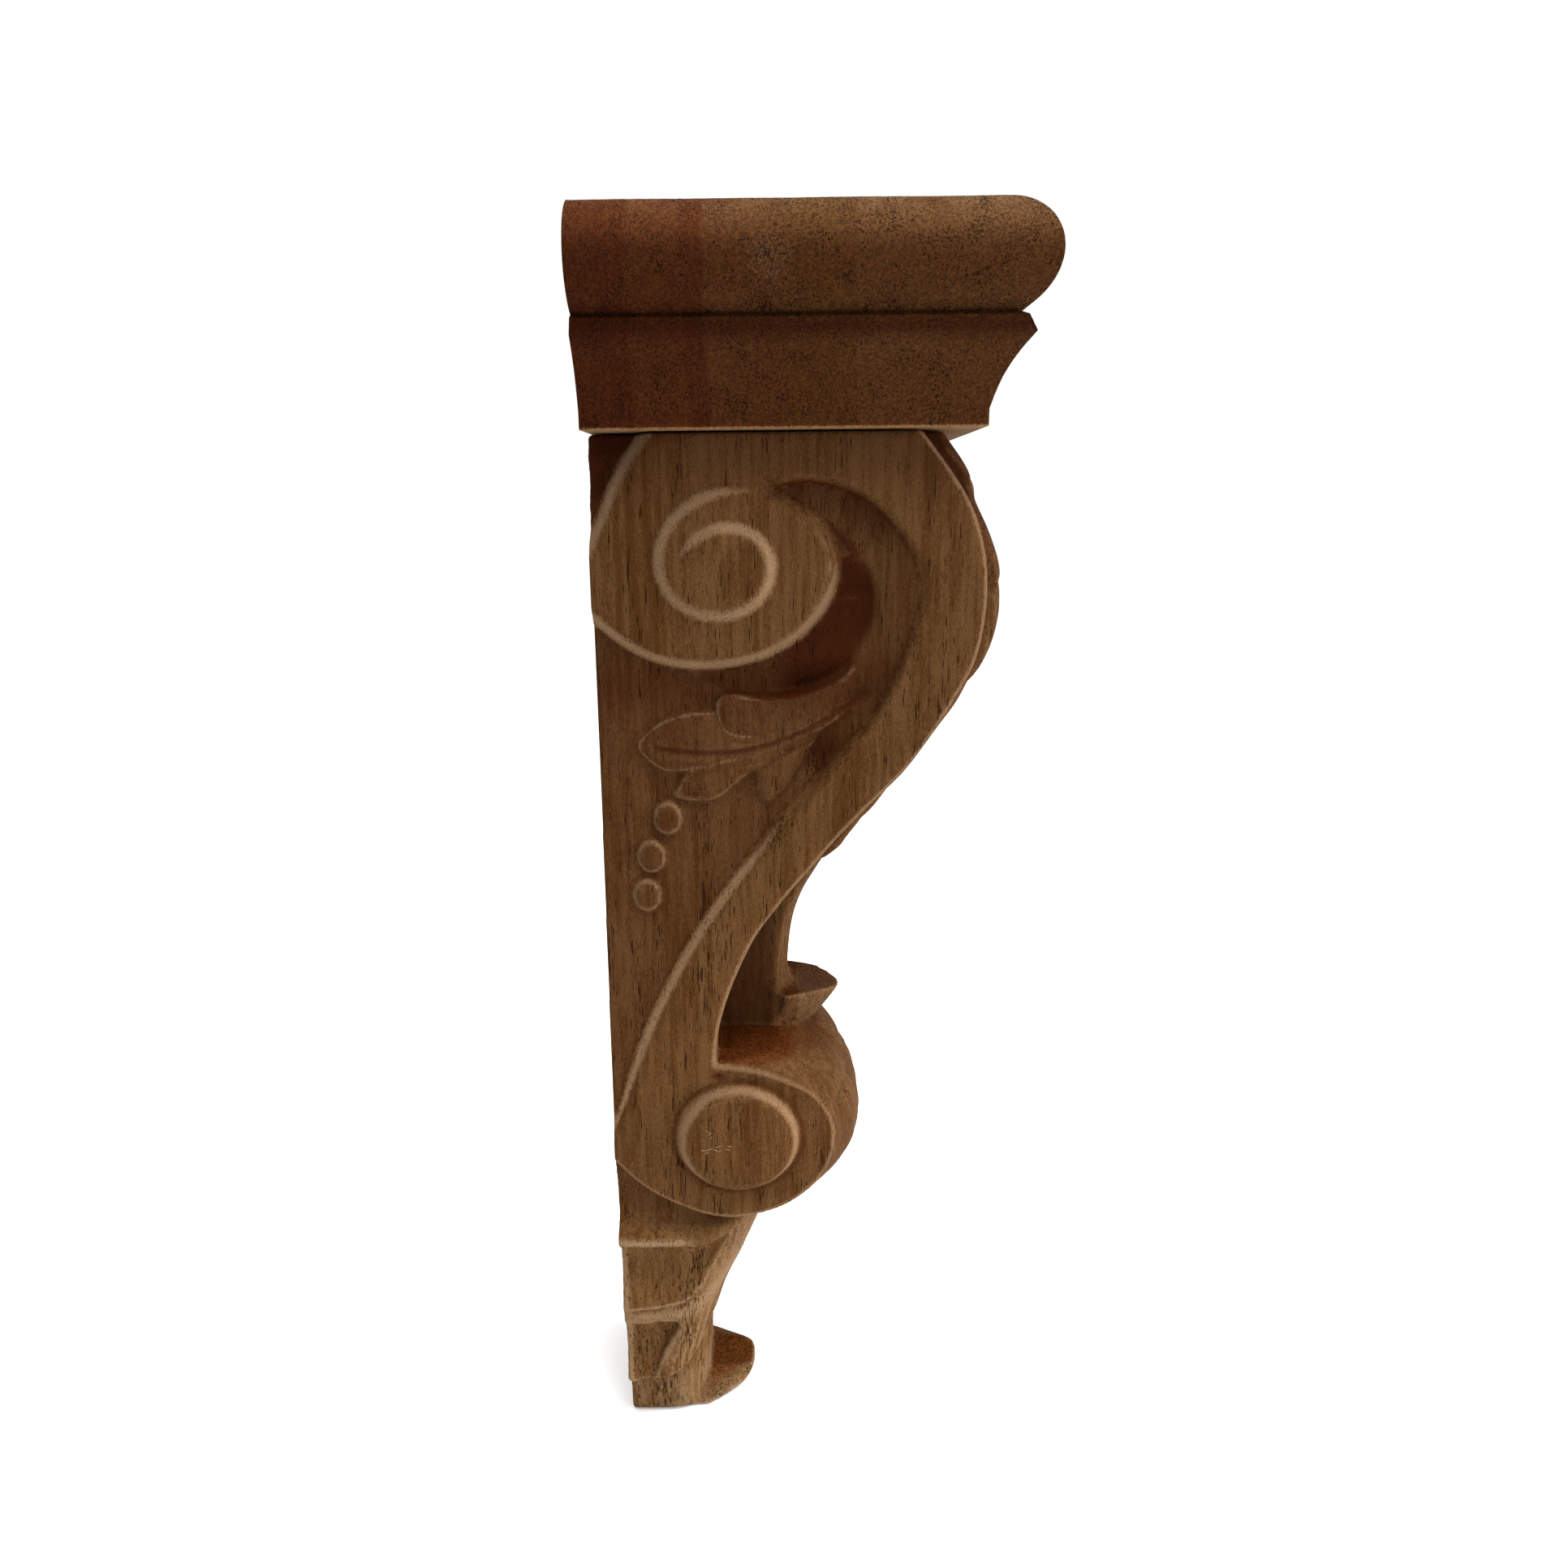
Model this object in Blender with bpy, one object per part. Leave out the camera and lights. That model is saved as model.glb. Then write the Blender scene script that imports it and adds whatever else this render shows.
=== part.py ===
"""Carved wooden corbel: a scrolled bracket with a moulded cap board glued on top.

The part's flat back lies on the plane y = 0 and its front looks towards -Y.
X is its width, symmetric about x = 0, and Z runs up. The origin is in the
middle of the back of the carved body, where the corbel is held to its wall.
Run it with: blender --background --python part.py
"""

import bisect
import math

import bmesh
import bpy

# Driving dimensions of the carved body, in metres
BODY_HEIGHT = 0.216
BODY_DEPTH = 0.075
SCROLL_WIDTH = 0.056
SCROLL_BORDER = 0.006
FIELD_RECESS = 0.003
CHANNEL_RECESS = 0.0065
ARRIS_BEVEL = 0.0012
LEAF_RISE = 0.0055
LEAF_GROOVE = 0.0012
LEAF_HALF_WIDTH = 0.021
NECK_HALF_WIDTH = 0.007
LEAF_TIP_HALF_WIDTH = 0.012
SPRAY_RISE = 0.0014
BERRY_RISE = 0.0016
VOLUTE_EYE_RISE = 0.003
BUTTON_RISE = 0.0035
TAIL_FOOT_HALF_WIDTH = 0.015

# Driving dimensions of the cap board, in metres
CAP_DEPTH = 0.0735
CAP_SIDE_OVERHANG = 0.005
CAP_FOOT_HEIGHT = 0.003
CAVETTO_HEIGHT = 0.0123
CAVETTO_PROJECTION = 0.0069
CAVETTO_HOLLOW = 0.0009
FILLET_HEIGHT = 0.0029
FILLET_SET_BACK = 0.0012
BULLNOSE_HEIGHT = 0.0198
BULLNOSE_PROJECTION = 0.0104
GLUE_GAP = 0.0003

# The carver's side pattern is drawn in millimetres, and stretches to the body
PATTERN_DEPTH = 75.0
PATTERN_HEIGHT = 216.0

# Each pattern point is (depth in front of the back, height above the foot)
FRONT_ARRIS = [
    (60.0, 219.0), (69.8, 205.6), (73.9, 196.0), (74.9, 186.0), (73.6, 175.5),
    (69.6, 166.8), (60.7, 153.4), (50.2, 142.5), (42.3, 133.7), (32.9, 122.4),
    (28.0, 114.4), (24.2, 105.0), (22.2, 98.0), (21.6, 91.5),
]
ROLL_ARRIS = [
    (21.6, 91.5), (29.0, 90.5), (35.5, 88.3), (41.7, 84.3), (45.4, 78.8), (45.9, 73.5),
    (44.2, 67.6), (40.6, 62.9), (35.0, 59.0), (29.0, 56.9), (23.5, 56.4), (17.5, 57.6),
    (10.3, 60.8), (4.5, 65.0), (-3.0, 73.0),
]
BAND_INNER_EDGE = [
    (-3.0, 76.0), (1.9, 83.0), (5.5, 94.1), (9.9, 104.7), (15.9, 116.1), (22.8, 126.7),
    (30.4, 136.7), (36.5, 144.4), (47.5, 156.2), (54.9, 164.8), (60.2, 176.4), (62.5, 186.8),
    (60.3, 194.6), (54.8, 201.3), (48.9, 205.1), (41.5, 206.9), (34.0, 205.9),
]
VOLUTE_OUTER_EDGE = [
    (34.0, 205.9), (41.4, 202.0), (45.8, 197.5), (47.5, 191.8), (46.4, 186.4), (43.6, 181.5),
    (39.0, 177.1), (33.4, 174.0), (27.7, 172.4), (21.6, 171.8), (15.7, 172.3), (9.9, 174.0),
    (4.2, 177.4), (-3.0, 183.5),
]
VOLUTE_BACK_EDGE = [
    (-3.0, 193.0), (1.3, 201.3), (3.2, 206.4), (5.6, 210.7), (8.4, 214.9), (11.5, 219.0),
]
VOLUTE_INNER_EDGE = [
    (34.0, 205.9), (29.4, 206.6), (23.7, 206.0), (18.3, 203.8), (14.2, 200.0), (12.1, 195.4),
    (12.0, 190.4), (14.2, 185.6), (18.2, 182.4), (22.7, 181.2), (28.0, 181.7), (32.4, 184.3),
    (35.0, 188.3), (35.5, 192.6), (33.7, 196.6), (30.4, 199.1),
]
VOLUTE_CENTRE = (23.9, 190.7)
CHANNEL_EDGE = [
    (34.0, 205.9), (43.2, 201.4), (50.0, 195.9), (54.0, 189.0), (54.4, 182.1), (52.0, 176.2),
    (48.3, 170.9), (42.6, 167.8), (35.8, 166.4), (27.0, 166.9), (19.0, 170.5),
]

# Lobes of the leaf spray: root, tip, width and how far the lobe bows upwards
SPRAY_LOBES = [
    ((55.0, 173.0), (22.5, 163.3), 8.0, -5.0),
    ((54.0, 167.5), (7.3, 157.2), 12.5, -3.5),
    ((47.0, 163.5), (13.8, 146.8), 9.0, -1.0),
    ((46.0, 161.5), (32.0, 145.6), 7.0, 1.0),
]
BERRIES = [(13.1, 142.7), (9.7, 134.9), (8.6, 127.0)]
BERRY_HALF_AXES = (3.3, 3.9)

BUTTON_CENTRE = (25.8, 75.0)
BUTTON_HALF_AXES = (12.2, 11.4)

# Front profile of the leaf, its neck and its curled tip: (depth, height)
LEAF_FRONT = [
    (66.5, 219.0), (72.0, 211.2), (74.4, 206.2), (73.8, 204.8), (77.9, 196.4), (80.2, 186.8),
    (78.9, 177.2), (72.3, 164.1), (62.2, 150.7), (51.7, 137.0), (44.5, 127.0), (40.4, 120.8),
    (37.7, 113.4), (36.7, 106.0), (36.6, 99.0),
]
LEAF_TIP_TOP = 99.2
LEAF_TIP_REACH = 48.4
LEAF_TIP_UNDERCUT = 0.68
ROLL_TOP = 91.6
ROLL_GROUND_INSET = 1.8
ROLL_FRONT = [(37.5, 91.6), (42.8, 90.8), (46.8, 87.6), (49.2, 83.4), (49.5, 80.8), (51.2, 77.0),
              (52.3, 71.5), (51.2, 66.0), (47.2, 60.5), (41.0, 56.5), (33.5, 53.0)]
LEAF_SPREAD = [(219.0, 0.95), (206.0, 0.98), (190.0, 1.05), (172.0, 1.0), (160.0, 0.9),
               (150.0, 0.78), (138.0, 0.6), (130.0, 0.44)]
LEAF_NOTCHES = [205.0, 185.5, 167.0, 150.0, 138.0, 129.5]
LEAF_NOTCH_REACH = 3.2
LEAF_GROOVE_REACH = 3.5
LEAF_GROOVE_FALL = 9.0
RIB_SHARE = 0.12
VALLEY_SHARE = 0.2
NECK_TOP = 127.0
NECK_SETTLE = 4.0
ROLL_LEVELS = [72.5, 80.8]
LEAF_TOP_LEVELS = [209.0, 216.0]
ROLL_REEDS = 5

# Tail under the lower scroll: (height, half width as a share of the field's) and its front
TAIL_TOP = 57.5
TAIL_SIDES = [
    (57.5, 0.95), (53.6, 0.98), (51.4, 1.08), (48.7, 1.08), (48.4, 0.98), (43.0, 0.93),
    (36.0, 0.94), (32.2, 0.98), (28.2, 0.95), (27.9, 0.87), (22.0, 0.82), (16.0, 0.84),
    (12.4, 0.86), (12.1, 0.66),
]
TAIL_FRONT = [(33.0, 57.5), (30.5, 50.0), (27.0, 42.0), (22.6, 33.5), (20.2, 27.0), (18.2, 21.0),
              (17.5, 12.0), (17.4, 5.0)]
TAIL_SHOULDER_SHARE = 0.5
TAIL_TIP_TOP = 4.6
TAIL_TIP_REACH = 28.0
TAIL_TIP_FOOT_REACH = 26.0
FOOT_ROUNDING = 1.4

# How finely the curves are divided
SPAN_STEPS = 3
LOOP_STEPS = 28
CAVETTO_STEPS = 8
BULLNOSE_STEPS = 12
BULLNOSE_START = math.radians(-68.0)
LEVEL_STEP = 2.7
LEAST_LEVEL_STEP = 0.05
SKIN = 0.15
OVERRUN = 3.0

MILLIMETRE = 0.001
BODY_TOP = BODY_HEIGHT / 2
CAP_BOTTOM = BODY_TOP + GLUE_GAP
CAP_HALF_WIDTH = SCROLL_WIDTH / 2 + CAP_SIDE_OVERHANG
SCROLL_FACE = SCROLL_WIDTH / 2
FIELD_FACE = SCROLL_FACE - FIELD_RECESS
BORDER_INNER = SCROLL_FACE - SCROLL_BORDER


def clear_scene():
    """Remove every object, so that the script starts from an empty scene."""
    for item in list(bpy.data.objects):
        bpy.data.objects.remove(item)


def wood_material(name, colour, roughness):
    """Return a plain wood finish."""
    material = bpy.data.materials.new(name)
    material.use_nodes = True
    shader = material.node_tree.nodes["Principled BSDF"]
    shader.inputs["Base Color"].default_value = (*colour, 1.0)
    shader.inputs["Roughness"].default_value = roughness
    shader.inputs["Metallic"].default_value = 0.0
    return material


def depth_metres(value):
    """Return a pattern depth as metres in front of the back."""
    return value / PATTERN_DEPTH * BODY_DEPTH


def height_metres(value):
    """Return a pattern height as metres above the middle of the body."""
    return (value / PATTERN_HEIGHT - 0.5) * BODY_HEIGHT


def curve_through(points, steps=SPAN_STEPS):
    """Return a smooth open curve through the points, with steps points to each span."""
    padded = [points[0], *points, points[-1]]
    curve = []
    for index in range(1, len(padded) - 2):
        before, start, end, after = padded[index - 1:index + 3]
        for step in range(steps):
            t = step / steps
            curve.append(tuple(
                0.5 * (2 * b + (c - a) * t + (2 * a - 5 * b + 4 * c - d) * t * t
                       + (3 * b - a - 3 * c + d) * t ** 3)
                for a, b, c, d in zip(before, start, end, after)
            ))
    curve.append(tuple(points[-1]))
    return curve


def value_at(table, key):
    """Return the value at key in a table of (key, value) sorted by key, between its rows."""
    keys = [row[0] for row in table]
    place = min(max(bisect.bisect_left(keys, key), 1), len(keys) - 1)
    (low, low_value), (high, high_value) = table[place - 1], table[place]
    share = min(max((key - low) / (high - low), 0.0), 1.0)
    return low_value + (high_value - low_value) * share


def profile_table(points):
    """Return a front profile as a table of (height, depth), lowest first."""
    return sorted((height, depth) for depth, height in curve_through(points))


def link_mesh(name, mesh):
    """Return a new object that holds the bmesh, with its faces pointing out."""
    bmesh.ops.recalc_face_normals(mesh, faces=mesh.faces)
    data = bpy.data.meshes.new(name)
    mesh.to_mesh(data)
    mesh.free()
    item = bpy.data.objects.new(name, data)
    bpy.context.collection.objects.link(item)
    return item


def join_sections(mesh, sections):
    """Skin closed sections of equal counts into one closed body."""
    rows = [[mesh.verts.new(point) for point in section] for section in sections]
    count = len(rows[0])
    for lower, upper in zip(rows, rows[1:]):
        for index in range(count):
            following = (index + 1) % count
            mesh.faces.new((lower[index], lower[following], upper[following], upper[index]))
    mesh.faces.new(rows[0])
    mesh.faces.new(rows[-1])
    return mesh


def side_point(x, pattern_point):
    """Return the place of a point of the side pattern at x."""
    depth, height = pattern_point
    return (x, -depth_metres(depth), height_metres(height))


def relief_slab(name, outline, inner, outer, side, bevel=ARRIS_BEVEL):
    """Return a slab cut to an outline, from inner to outer on one side of the body.

    Its outer rim has a bevel, which is left out where bevel is 0.
    """
    mesh = bmesh.new()
    base = mesh.faces.new([mesh.verts.new(side_point(side * inner, point)) for point in outline])
    grown = bmesh.ops.extrude_face_region(mesh, geom=[base])["geom"]
    moved = [item for item in grown if isinstance(item, bmesh.types.BMVert)]
    bmesh.ops.translate(mesh, verts=moved, vec=(side * (outer - inner), 0.0, 0.0))
    if bevel > 0:
        rim = [edge for edge in mesh.edges if all(vert in moved for vert in edge.verts)]
        bmesh.ops.bevel(mesh, geom=rim, offset=bevel, segments=1, affect="EDGES", clamp_overlap=True)
    return link_mesh(name, mesh)


def oval(centre, half_axes, steps=LOOP_STEPS):
    """Return the points of an oval on the side pattern."""
    return [
        (centre[0] + half_axes[0] * math.cos(turn), centre[1] + half_axes[1] * math.sin(turn))
        for turn in (2 * math.pi * step / steps for step in range(steps))
    ]


def dome(name, outline, centre, root, rim, crown, side, shoulder=0.55):
    """Return a cushion on an outline: straight up from root to rim, then rising to crown."""
    mid = rim + (crown - rim) * 0.8
    inset = [
        tuple(mid_point + (edge - mid_point) * shoulder for edge, mid_point in zip(point, centre))
        for point in outline
    ]
    mesh = bmesh.new()
    layers = [(root, outline), (rim, outline), (mid, inset)]
    rows = [[mesh.verts.new(side_point(side * x, point)) for point in points]
            for x, points in layers]
    crown_point = mesh.verts.new(side_point(side * crown, centre))
    count = len(outline)
    for index in range(count):
        following = (index + 1) % count
        for lower, upper in zip(rows, rows[1:]):
            mesh.faces.new((lower[index], lower[following], upper[following], upper[index]))
        mesh.faces.new((rows[-1][index], rows[-1][following], crown_point))
    mesh.faces.new(rows[0])
    return link_mesh(name, mesh)


def scroll_outline():
    """Return the closed outline of the S-shaped scroll with its two volutes."""
    edges = [FRONT_ARRIS, ROLL_ARRIS, BAND_INNER_EDGE, VOLUTE_OUTER_EDGE, VOLUTE_BACK_EDGE]
    outline = []
    for edge in edges:
        curve = curve_through(edge)
        if outline and math.dist(outline[-1], curve[0]) < SKIN:
            curve = curve[1:]
        outline.extend(curve)
    return outline


def volute_turn(name, side):
    """Return the inner turn of the upper volute, which rises like a snail to its eye."""
    outline = curve_through(VOLUTE_INNER_EDGE)
    count = len(outline)
    bevel = ARRIS_BEVEL / BODY_DEPTH * PATTERN_DEPTH
    mesh = bmesh.new()
    rows = [[], [], []]
    for index, point in enumerate(outline):
        rise = 0.5 * VOLUTE_EYE_RISE * min(1.0, 1.6 * index / count)
        reach = math.dist(point, VOLUTE_CENTRE)
        inner = tuple(c + (p - c) * (1 - bevel / reach) for p, c in zip(point, VOLUTE_CENTRE))
        rows[0].append(mesh.verts.new(side_point(side * BORDER_INNER, point)))
        rows[1].append(mesh.verts.new(side_point(side * (SCROLL_FACE - 0.3 * ARRIS_BEVEL), point)))
        rows[2].append(mesh.verts.new(side_point(side * (SCROLL_FACE + rise), inner)))
    eye = mesh.verts.new(side_point(side * (SCROLL_FACE + VOLUTE_EYE_RISE), VOLUTE_CENTRE))
    for index in range(count):
        following = (index + 1) % count
        for lower, upper in zip(rows, rows[1:]):
            mesh.faces.new((lower[index], lower[following], upper[following], upper[index]))
        mesh.faces.new((rows[2][index], rows[2][following], eye))
    mesh.faces.new(rows[0])
    return link_mesh(name, mesh)


def lobe_outline(root, tip, width, bow):
    """Return a leaf lobe from its narrow root to its rounded tip."""
    length = math.dist(root, tip)
    along = ((tip[0] - root[0]) / length, (tip[1] - root[1]) / length)
    across = (-along[1], along[0])
    steps = 9
    edges = {1: [], -1: []}
    for step in range(1, steps):
        share = step / steps
        half = width / 2 * math.sin(math.pi * share ** 1.35) ** 0.75
        middle = bow * math.sin(math.pi * share) * 0.5
        for hand, edge in edges.items():
            shift = middle + hand * half
            edge.append((root[0] + along[0] * share * length + across[0] * shift,
                         root[1] + along[1] * share * length + across[1] * shift))
    return [root, *edges[1], tip, *reversed(edges[-1])]


def side_relief(side):
    """Return the raised carving of one side: scroll, volutes, leaf spray and berries."""
    hand = "left" if side < 0 else "right"
    pieces = [
        relief_slab(f"{hand} scroll", scroll_outline(), BORDER_INNER, SCROLL_FACE, side),
        volute_turn(f"{hand} volute turn", side),
        dome(f"{hand} button", oval(BUTTON_CENTRE, BUTTON_HALF_AXES), BUTTON_CENTRE,
             BORDER_INNER, SCROLL_FACE + 0.5 * BUTTON_RISE, SCROLL_FACE + BUTTON_RISE, side, 0.85),
    ]
    for number, (root, tip, width, bow) in enumerate(SPRAY_LOBES):
        outline = lobe_outline(root, tip, width, bow)
        level = SKIN * MILLIMETRE * number
        pieces.append(relief_slab(f"{hand} lobe {number}", outline, BORDER_INNER,
                                  FIELD_FACE + SPRAY_RISE - level, side, ARRIS_BEVEL * 0.5))
    for number, centre in enumerate(BERRIES):
        pieces.append(dome(f"{hand} berry {number}", oval(centre, BERRY_HALF_AXES, 12), centre,
                           BORDER_INNER, FIELD_FACE + 0.4 * BERRY_RISE, FIELD_FACE + BERRY_RISE, side))
    return pieces


def channel_cutter(side):
    """Return the cutter of the hollow crescent between the volute and the stem."""
    crescent = curve_through(CHANNEL_EDGE) + [(24.0, 180.0), (38.0, 186.0), (38.0, 196.0)]
    hand = "left" if side < 0 else "right"
    return relief_slab(f"{hand} channel", crescent, SCROLL_FACE - CHANNEL_RECESS,
                       SCROLL_FACE + ARRIS_BEVEL, side, 0)


def leaf_half_width(height):
    """Return half the leaf's width in metres at a pattern height, with its notched edge."""
    spread = sorted(LEAF_SPREAD)
    if height >= NECK_TOP:
        wide = LEAF_HALF_WIDTH * value_at(spread, height)
        gap = min(abs(height - notch) for notch in LEAF_NOTCHES)
        notched = wide * (1 - 0.16 * max(0.0, 1 - gap / LEAF_NOTCH_REACH))
        settle = min(1.0, (height - NECK_TOP) / NECK_SETTLE)
        return NECK_HALF_WIDTH + (notched - NECK_HALF_WIDTH) * settle
    if height > LEAF_TIP_TOP:
        return NECK_HALF_WIDTH
    if height > ROLL_TOP:
        drop = (LEAF_TIP_TOP - height) / (LEAF_TIP_TOP - ROLL_TOP)
        return LEAF_TIP_HALF_WIDTH * (1 - 0.25 * drop)
    if height > TAIL_TOP:
        return BORDER_INNER * 0.9
    return tail_half_width(height) * 0.9


def leaf_depth(share, height):
    """Return the leaf's depth in metres at a share of its half width and a pattern height.

    The lobes fall away to the edges, with a groove between each two that runs
    down and outwards, and a rib along the middle.
    """
    depth = depth_metres(value_at(profile_table(LEAF_FRONT), height))
    if height < NECK_TOP:
        return depth - 0.25 * NECK_HALF_WIDTH * share ** 2
    slope = height + LEAF_GROOVE_FALL * share
    gap = min(abs(slope - notch) for notch in LEAF_NOTCHES)
    groove = LEAF_GROOVE * max(0.0, 1 - gap / LEAF_GROOVE_REACH) * min(1.0, 3 * share)
    rib = 0.35 * LEAF_GROOVE * max(0.0, 1 - share / RIB_SHARE)
    valley = 0.6 * LEAF_GROOVE * max(0.0, 1 - abs(share / VALLEY_SHARE - 1))
    return depth - 0.3 * LEAF_RISE * share ** 3 - groove - valley + rib


def front_depth(share, height):
    """Return the front's depth in metres at a share of the leaf's half width."""
    if height > LEAF_TIP_TOP:
        return leaf_depth(share, height)
    if height > ROLL_TOP:
        reach = LEAF_TIP_REACH - (LEAF_TIP_TOP - height) * LEAF_TIP_UNDERCUT
        neck = LEAF_FRONT[-1][0]
        return depth_metres(neck + (reach - neck) * (1 - share ** 2.2))
    if height > TAIL_TOP:
        roll = depth_metres(value_at(profile_table(ROLL_FRONT), height))
        scroll = panel_depth(height)
        ribs = 0.3 * LEAF_GROOVE * math.cos(ROLL_REEDS * math.pi * share)
        return scroll + (roll - scroll) * (1 - share ** 2.5) + ribs * (1 - share)
    return tail_depth(share, height)


def panel_depth(height):
    """Return the depth in metres of the ground between the scrolls at a pattern height."""
    if height > ROLL_TOP:
        arris = value_at(profile_table(FRONT_ARRIS), height)
    else:
        start = FRONT_ARRIS[-1][0]
        front = [point for point in curve_through(ROLL_ARRIS) if point[0] > start]
        roll = sorted((high, deep) for deep, high in front)
        arris = min(value_at(roll, height), value_at(roll, height - ROLL_GROUND_INSET))
    return depth_metres(arris) - 0.25 * LEAF_RISE


def tail_half_width(height):
    """Return half the tail's width in metres at a pattern height."""
    lowest = min(TAIL_SIDES)
    if height >= lowest[0]:
        return FIELD_FACE * value_at(sorted(TAIL_SIDES), height)
    top = FIELD_FACE * lowest[1]
    rounding = FOOT_ROUNDING * MILLIMETRE * max(0.0, 1 - height / FOOT_ROUNDING)
    return TAIL_FOOT_HALF_WIDTH + (top - TAIL_FOOT_HALF_WIDTH) * height / lowest[0] - rounding


def tail_depth(share, height):
    """Return the tail's depth in metres at a share of its width, with its curled tip."""
    front = value_at(profile_table(TAIL_FRONT), height)
    shoulder = TAIL_SHOULDER_SHARE * front
    depth = shoulder + (front - shoulder) * (1 - share ** 2.0) ** 0.7
    if height <= TAIL_TIP_TOP:
        rise = max(0.0, height) / TAIL_TIP_TOP
        reach = TAIL_TIP_FOOT_REACH + (TAIL_TIP_REACH - TAIL_TIP_FOOT_REACH) * rise
        narrow = min(1.0, share * (1.0 + 0.9 * rise))
        depth = max(depth, shoulder + (reach - shoulder) * (1 - narrow ** 2.0) ** 0.6)
    return depth_metres(depth)


def body_levels():
    """Return the pattern heights of the body's sections, from the foot to the top."""
    steps = [LEAF_TIP_TOP, ROLL_TOP, TAIL_TIP_TOP]
    marks = [value + shift for value in steps for shift in (-SKIN / 2, SKIN / 2)]
    marks += [height for height, _ in TAIL_SIDES]
    marks += [0.0, FOOT_ROUNDING, PATTERN_HEIGHT + OVERRUN]
    marks += LEAF_NOTCHES + ROLL_LEVELS + LEAF_TOP_LEVELS
    levels = []
    for low, high in zip(sorted(marks), sorted(marks)[1:]):
        count = max(1, round((high - low) / LEVEL_STEP))
        levels += [low + (high - low) * step / count for step in range(count)]
    levels.append(max(marks))
    following = levels[1:] + [math.inf]
    return [level for level, after in zip(levels, following) if after - level > LEAST_LEVEL_STEP]


def body_section(height):
    """Return the closed outline of the body's ground and leaf at one height."""
    tail = height <= TAIL_TOP
    wall = tail_half_width(height) if tail else FIELD_FACE
    leaf = leaf_half_width(height)
    shares = [1.0, 0.9, 0.75, 0.6, 0.45, 0.3, 0.2, 0.1]
    half = []
    if tail:
        half.append((wall, tail_depth(1.0, height)))
        half.append((wall * 0.97, tail_depth(0.97, height)))
        half += [(wall * share, tail_depth(share, height)) for share in (0.9, *shares[1:])]
    else:
        ground = panel_depth(height)
        half.append((wall, ground))
        half.append((min(leaf + 2 * SKIN * MILLIMETRE, 0.98 * wall), ground))
        half += [(leaf * share, front_depth(share, height)) for share in shares]
    middle = tail_depth(0.0, height) if tail else front_depth(0.0, height)
    across = half + [(0.0, middle)] + [(-x, depth) for x, depth in reversed(half)]
    back = depth_metres(-OVERRUN)
    outline = [(wall, back), *across, (-wall, back)]
    return [(x, -depth, height_metres(height)) for x, depth in outline]


def block(name, low, high):
    """Return a plain block between two corners."""
    mesh = bmesh.new()
    bmesh.ops.create_cube(mesh, size=1.0)
    for vert in mesh.verts:
        for axis in range(3):
            vert.co[axis] = low[axis] if vert.co[axis] < 0 else high[axis]
    return link_mesh(name, mesh)


def apply_boolean(target, tools, operation):
    """Join or cut the target with the tools, then remove the tools."""
    group = bpy.data.collections.new(f"{target.name} {operation}")
    for tool in tools:
        group.objects.link(tool)
    modifier = target.modifiers.new(operation, "BOOLEAN")
    modifier.operation = operation
    modifier.operand_type = "COLLECTION"
    modifier.collection = group
    modifier.solver = "EXACT"
    graph = bpy.context.evaluated_depsgraph_get()
    result = bpy.data.meshes.new_from_object(target.evaluated_get(graph))
    target.modifiers.clear()
    target.data = result
    for tool in tools:
        bpy.data.objects.remove(tool)
    bpy.data.collections.remove(group)


def corbel_body():
    """Return the carved body: ground and front leaf, side relief, flat back and flat top."""
    mesh = join_sections(bmesh.new(), [body_section(level) for level in body_levels()])
    body = link_mesh("carved_body", mesh)
    apply_boolean(body, [channel_cutter(side) for side in (-1, 1)], "DIFFERENCE")
    apply_boolean(body, side_relief(-1) + side_relief(1), "UNION")
    wide = SCROLL_WIDTH * 2
    tall = BODY_HEIGHT * 2
    trims = [
        block("back trim", (-wide, 0.0, -tall), (wide, wide, tall)),
        block("top trim", (-wide, -wide, BODY_TOP), (wide, wide, tall)),
    ]
    for trim in trims:
        apply_boolean(body, [trim], "DIFFERENCE")
    return body


def cap_profile():
    """Return the cap's moulding as (projection, height) from its foot to its top."""
    nose = CAP_FOOT_HEIGHT + CAVETTO_HEIGHT
    notch = nose + FILLET_HEIGHT
    slope = math.hypot(CAVETTO_PROJECTION, CAVETTO_HEIGHT)
    profile = [(0.0, 0.0)]
    for step in range(CAVETTO_STEPS + 1):
        share = step / CAVETTO_STEPS
        hollow = CAVETTO_HOLLOW * math.sin(math.pi * share) / slope
        profile.append((CAVETTO_PROJECTION * share - hollow * CAVETTO_HEIGHT,
                        CAP_FOOT_HEIGHT + CAVETTO_HEIGHT * share + hollow * CAVETTO_PROJECTION))
    profile.append((CAVETTO_PROJECTION - FILLET_SET_BACK, notch))
    radius = BULLNOSE_HEIGHT / 2
    middle = notch + radius
    for step in range(BULLNOSE_STEPS + 1):
        turn = BULLNOSE_START + (math.pi / 2 - BULLNOSE_START) * step / BULLNOSE_STEPS
        profile.append((BULLNOSE_PROJECTION - radius + radius * math.cos(turn),
                        middle + radius * math.sin(turn)))
    return profile


def cap_board():
    """Return the moulded cap board, whose moulding returns along both sides."""
    sections = []
    for projection, height in cap_profile():
        half = CAP_HALF_WIDTH + projection
        front = -(CAP_DEPTH + projection)
        level = CAP_BOTTOM + height
        sections.append([(half, 0.0, level), (-half, 0.0, level),
                         (-half, front, level), (half, front, level)])
    return link_mesh("cap_board", join_sections(bmesh.new(), sections))


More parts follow.
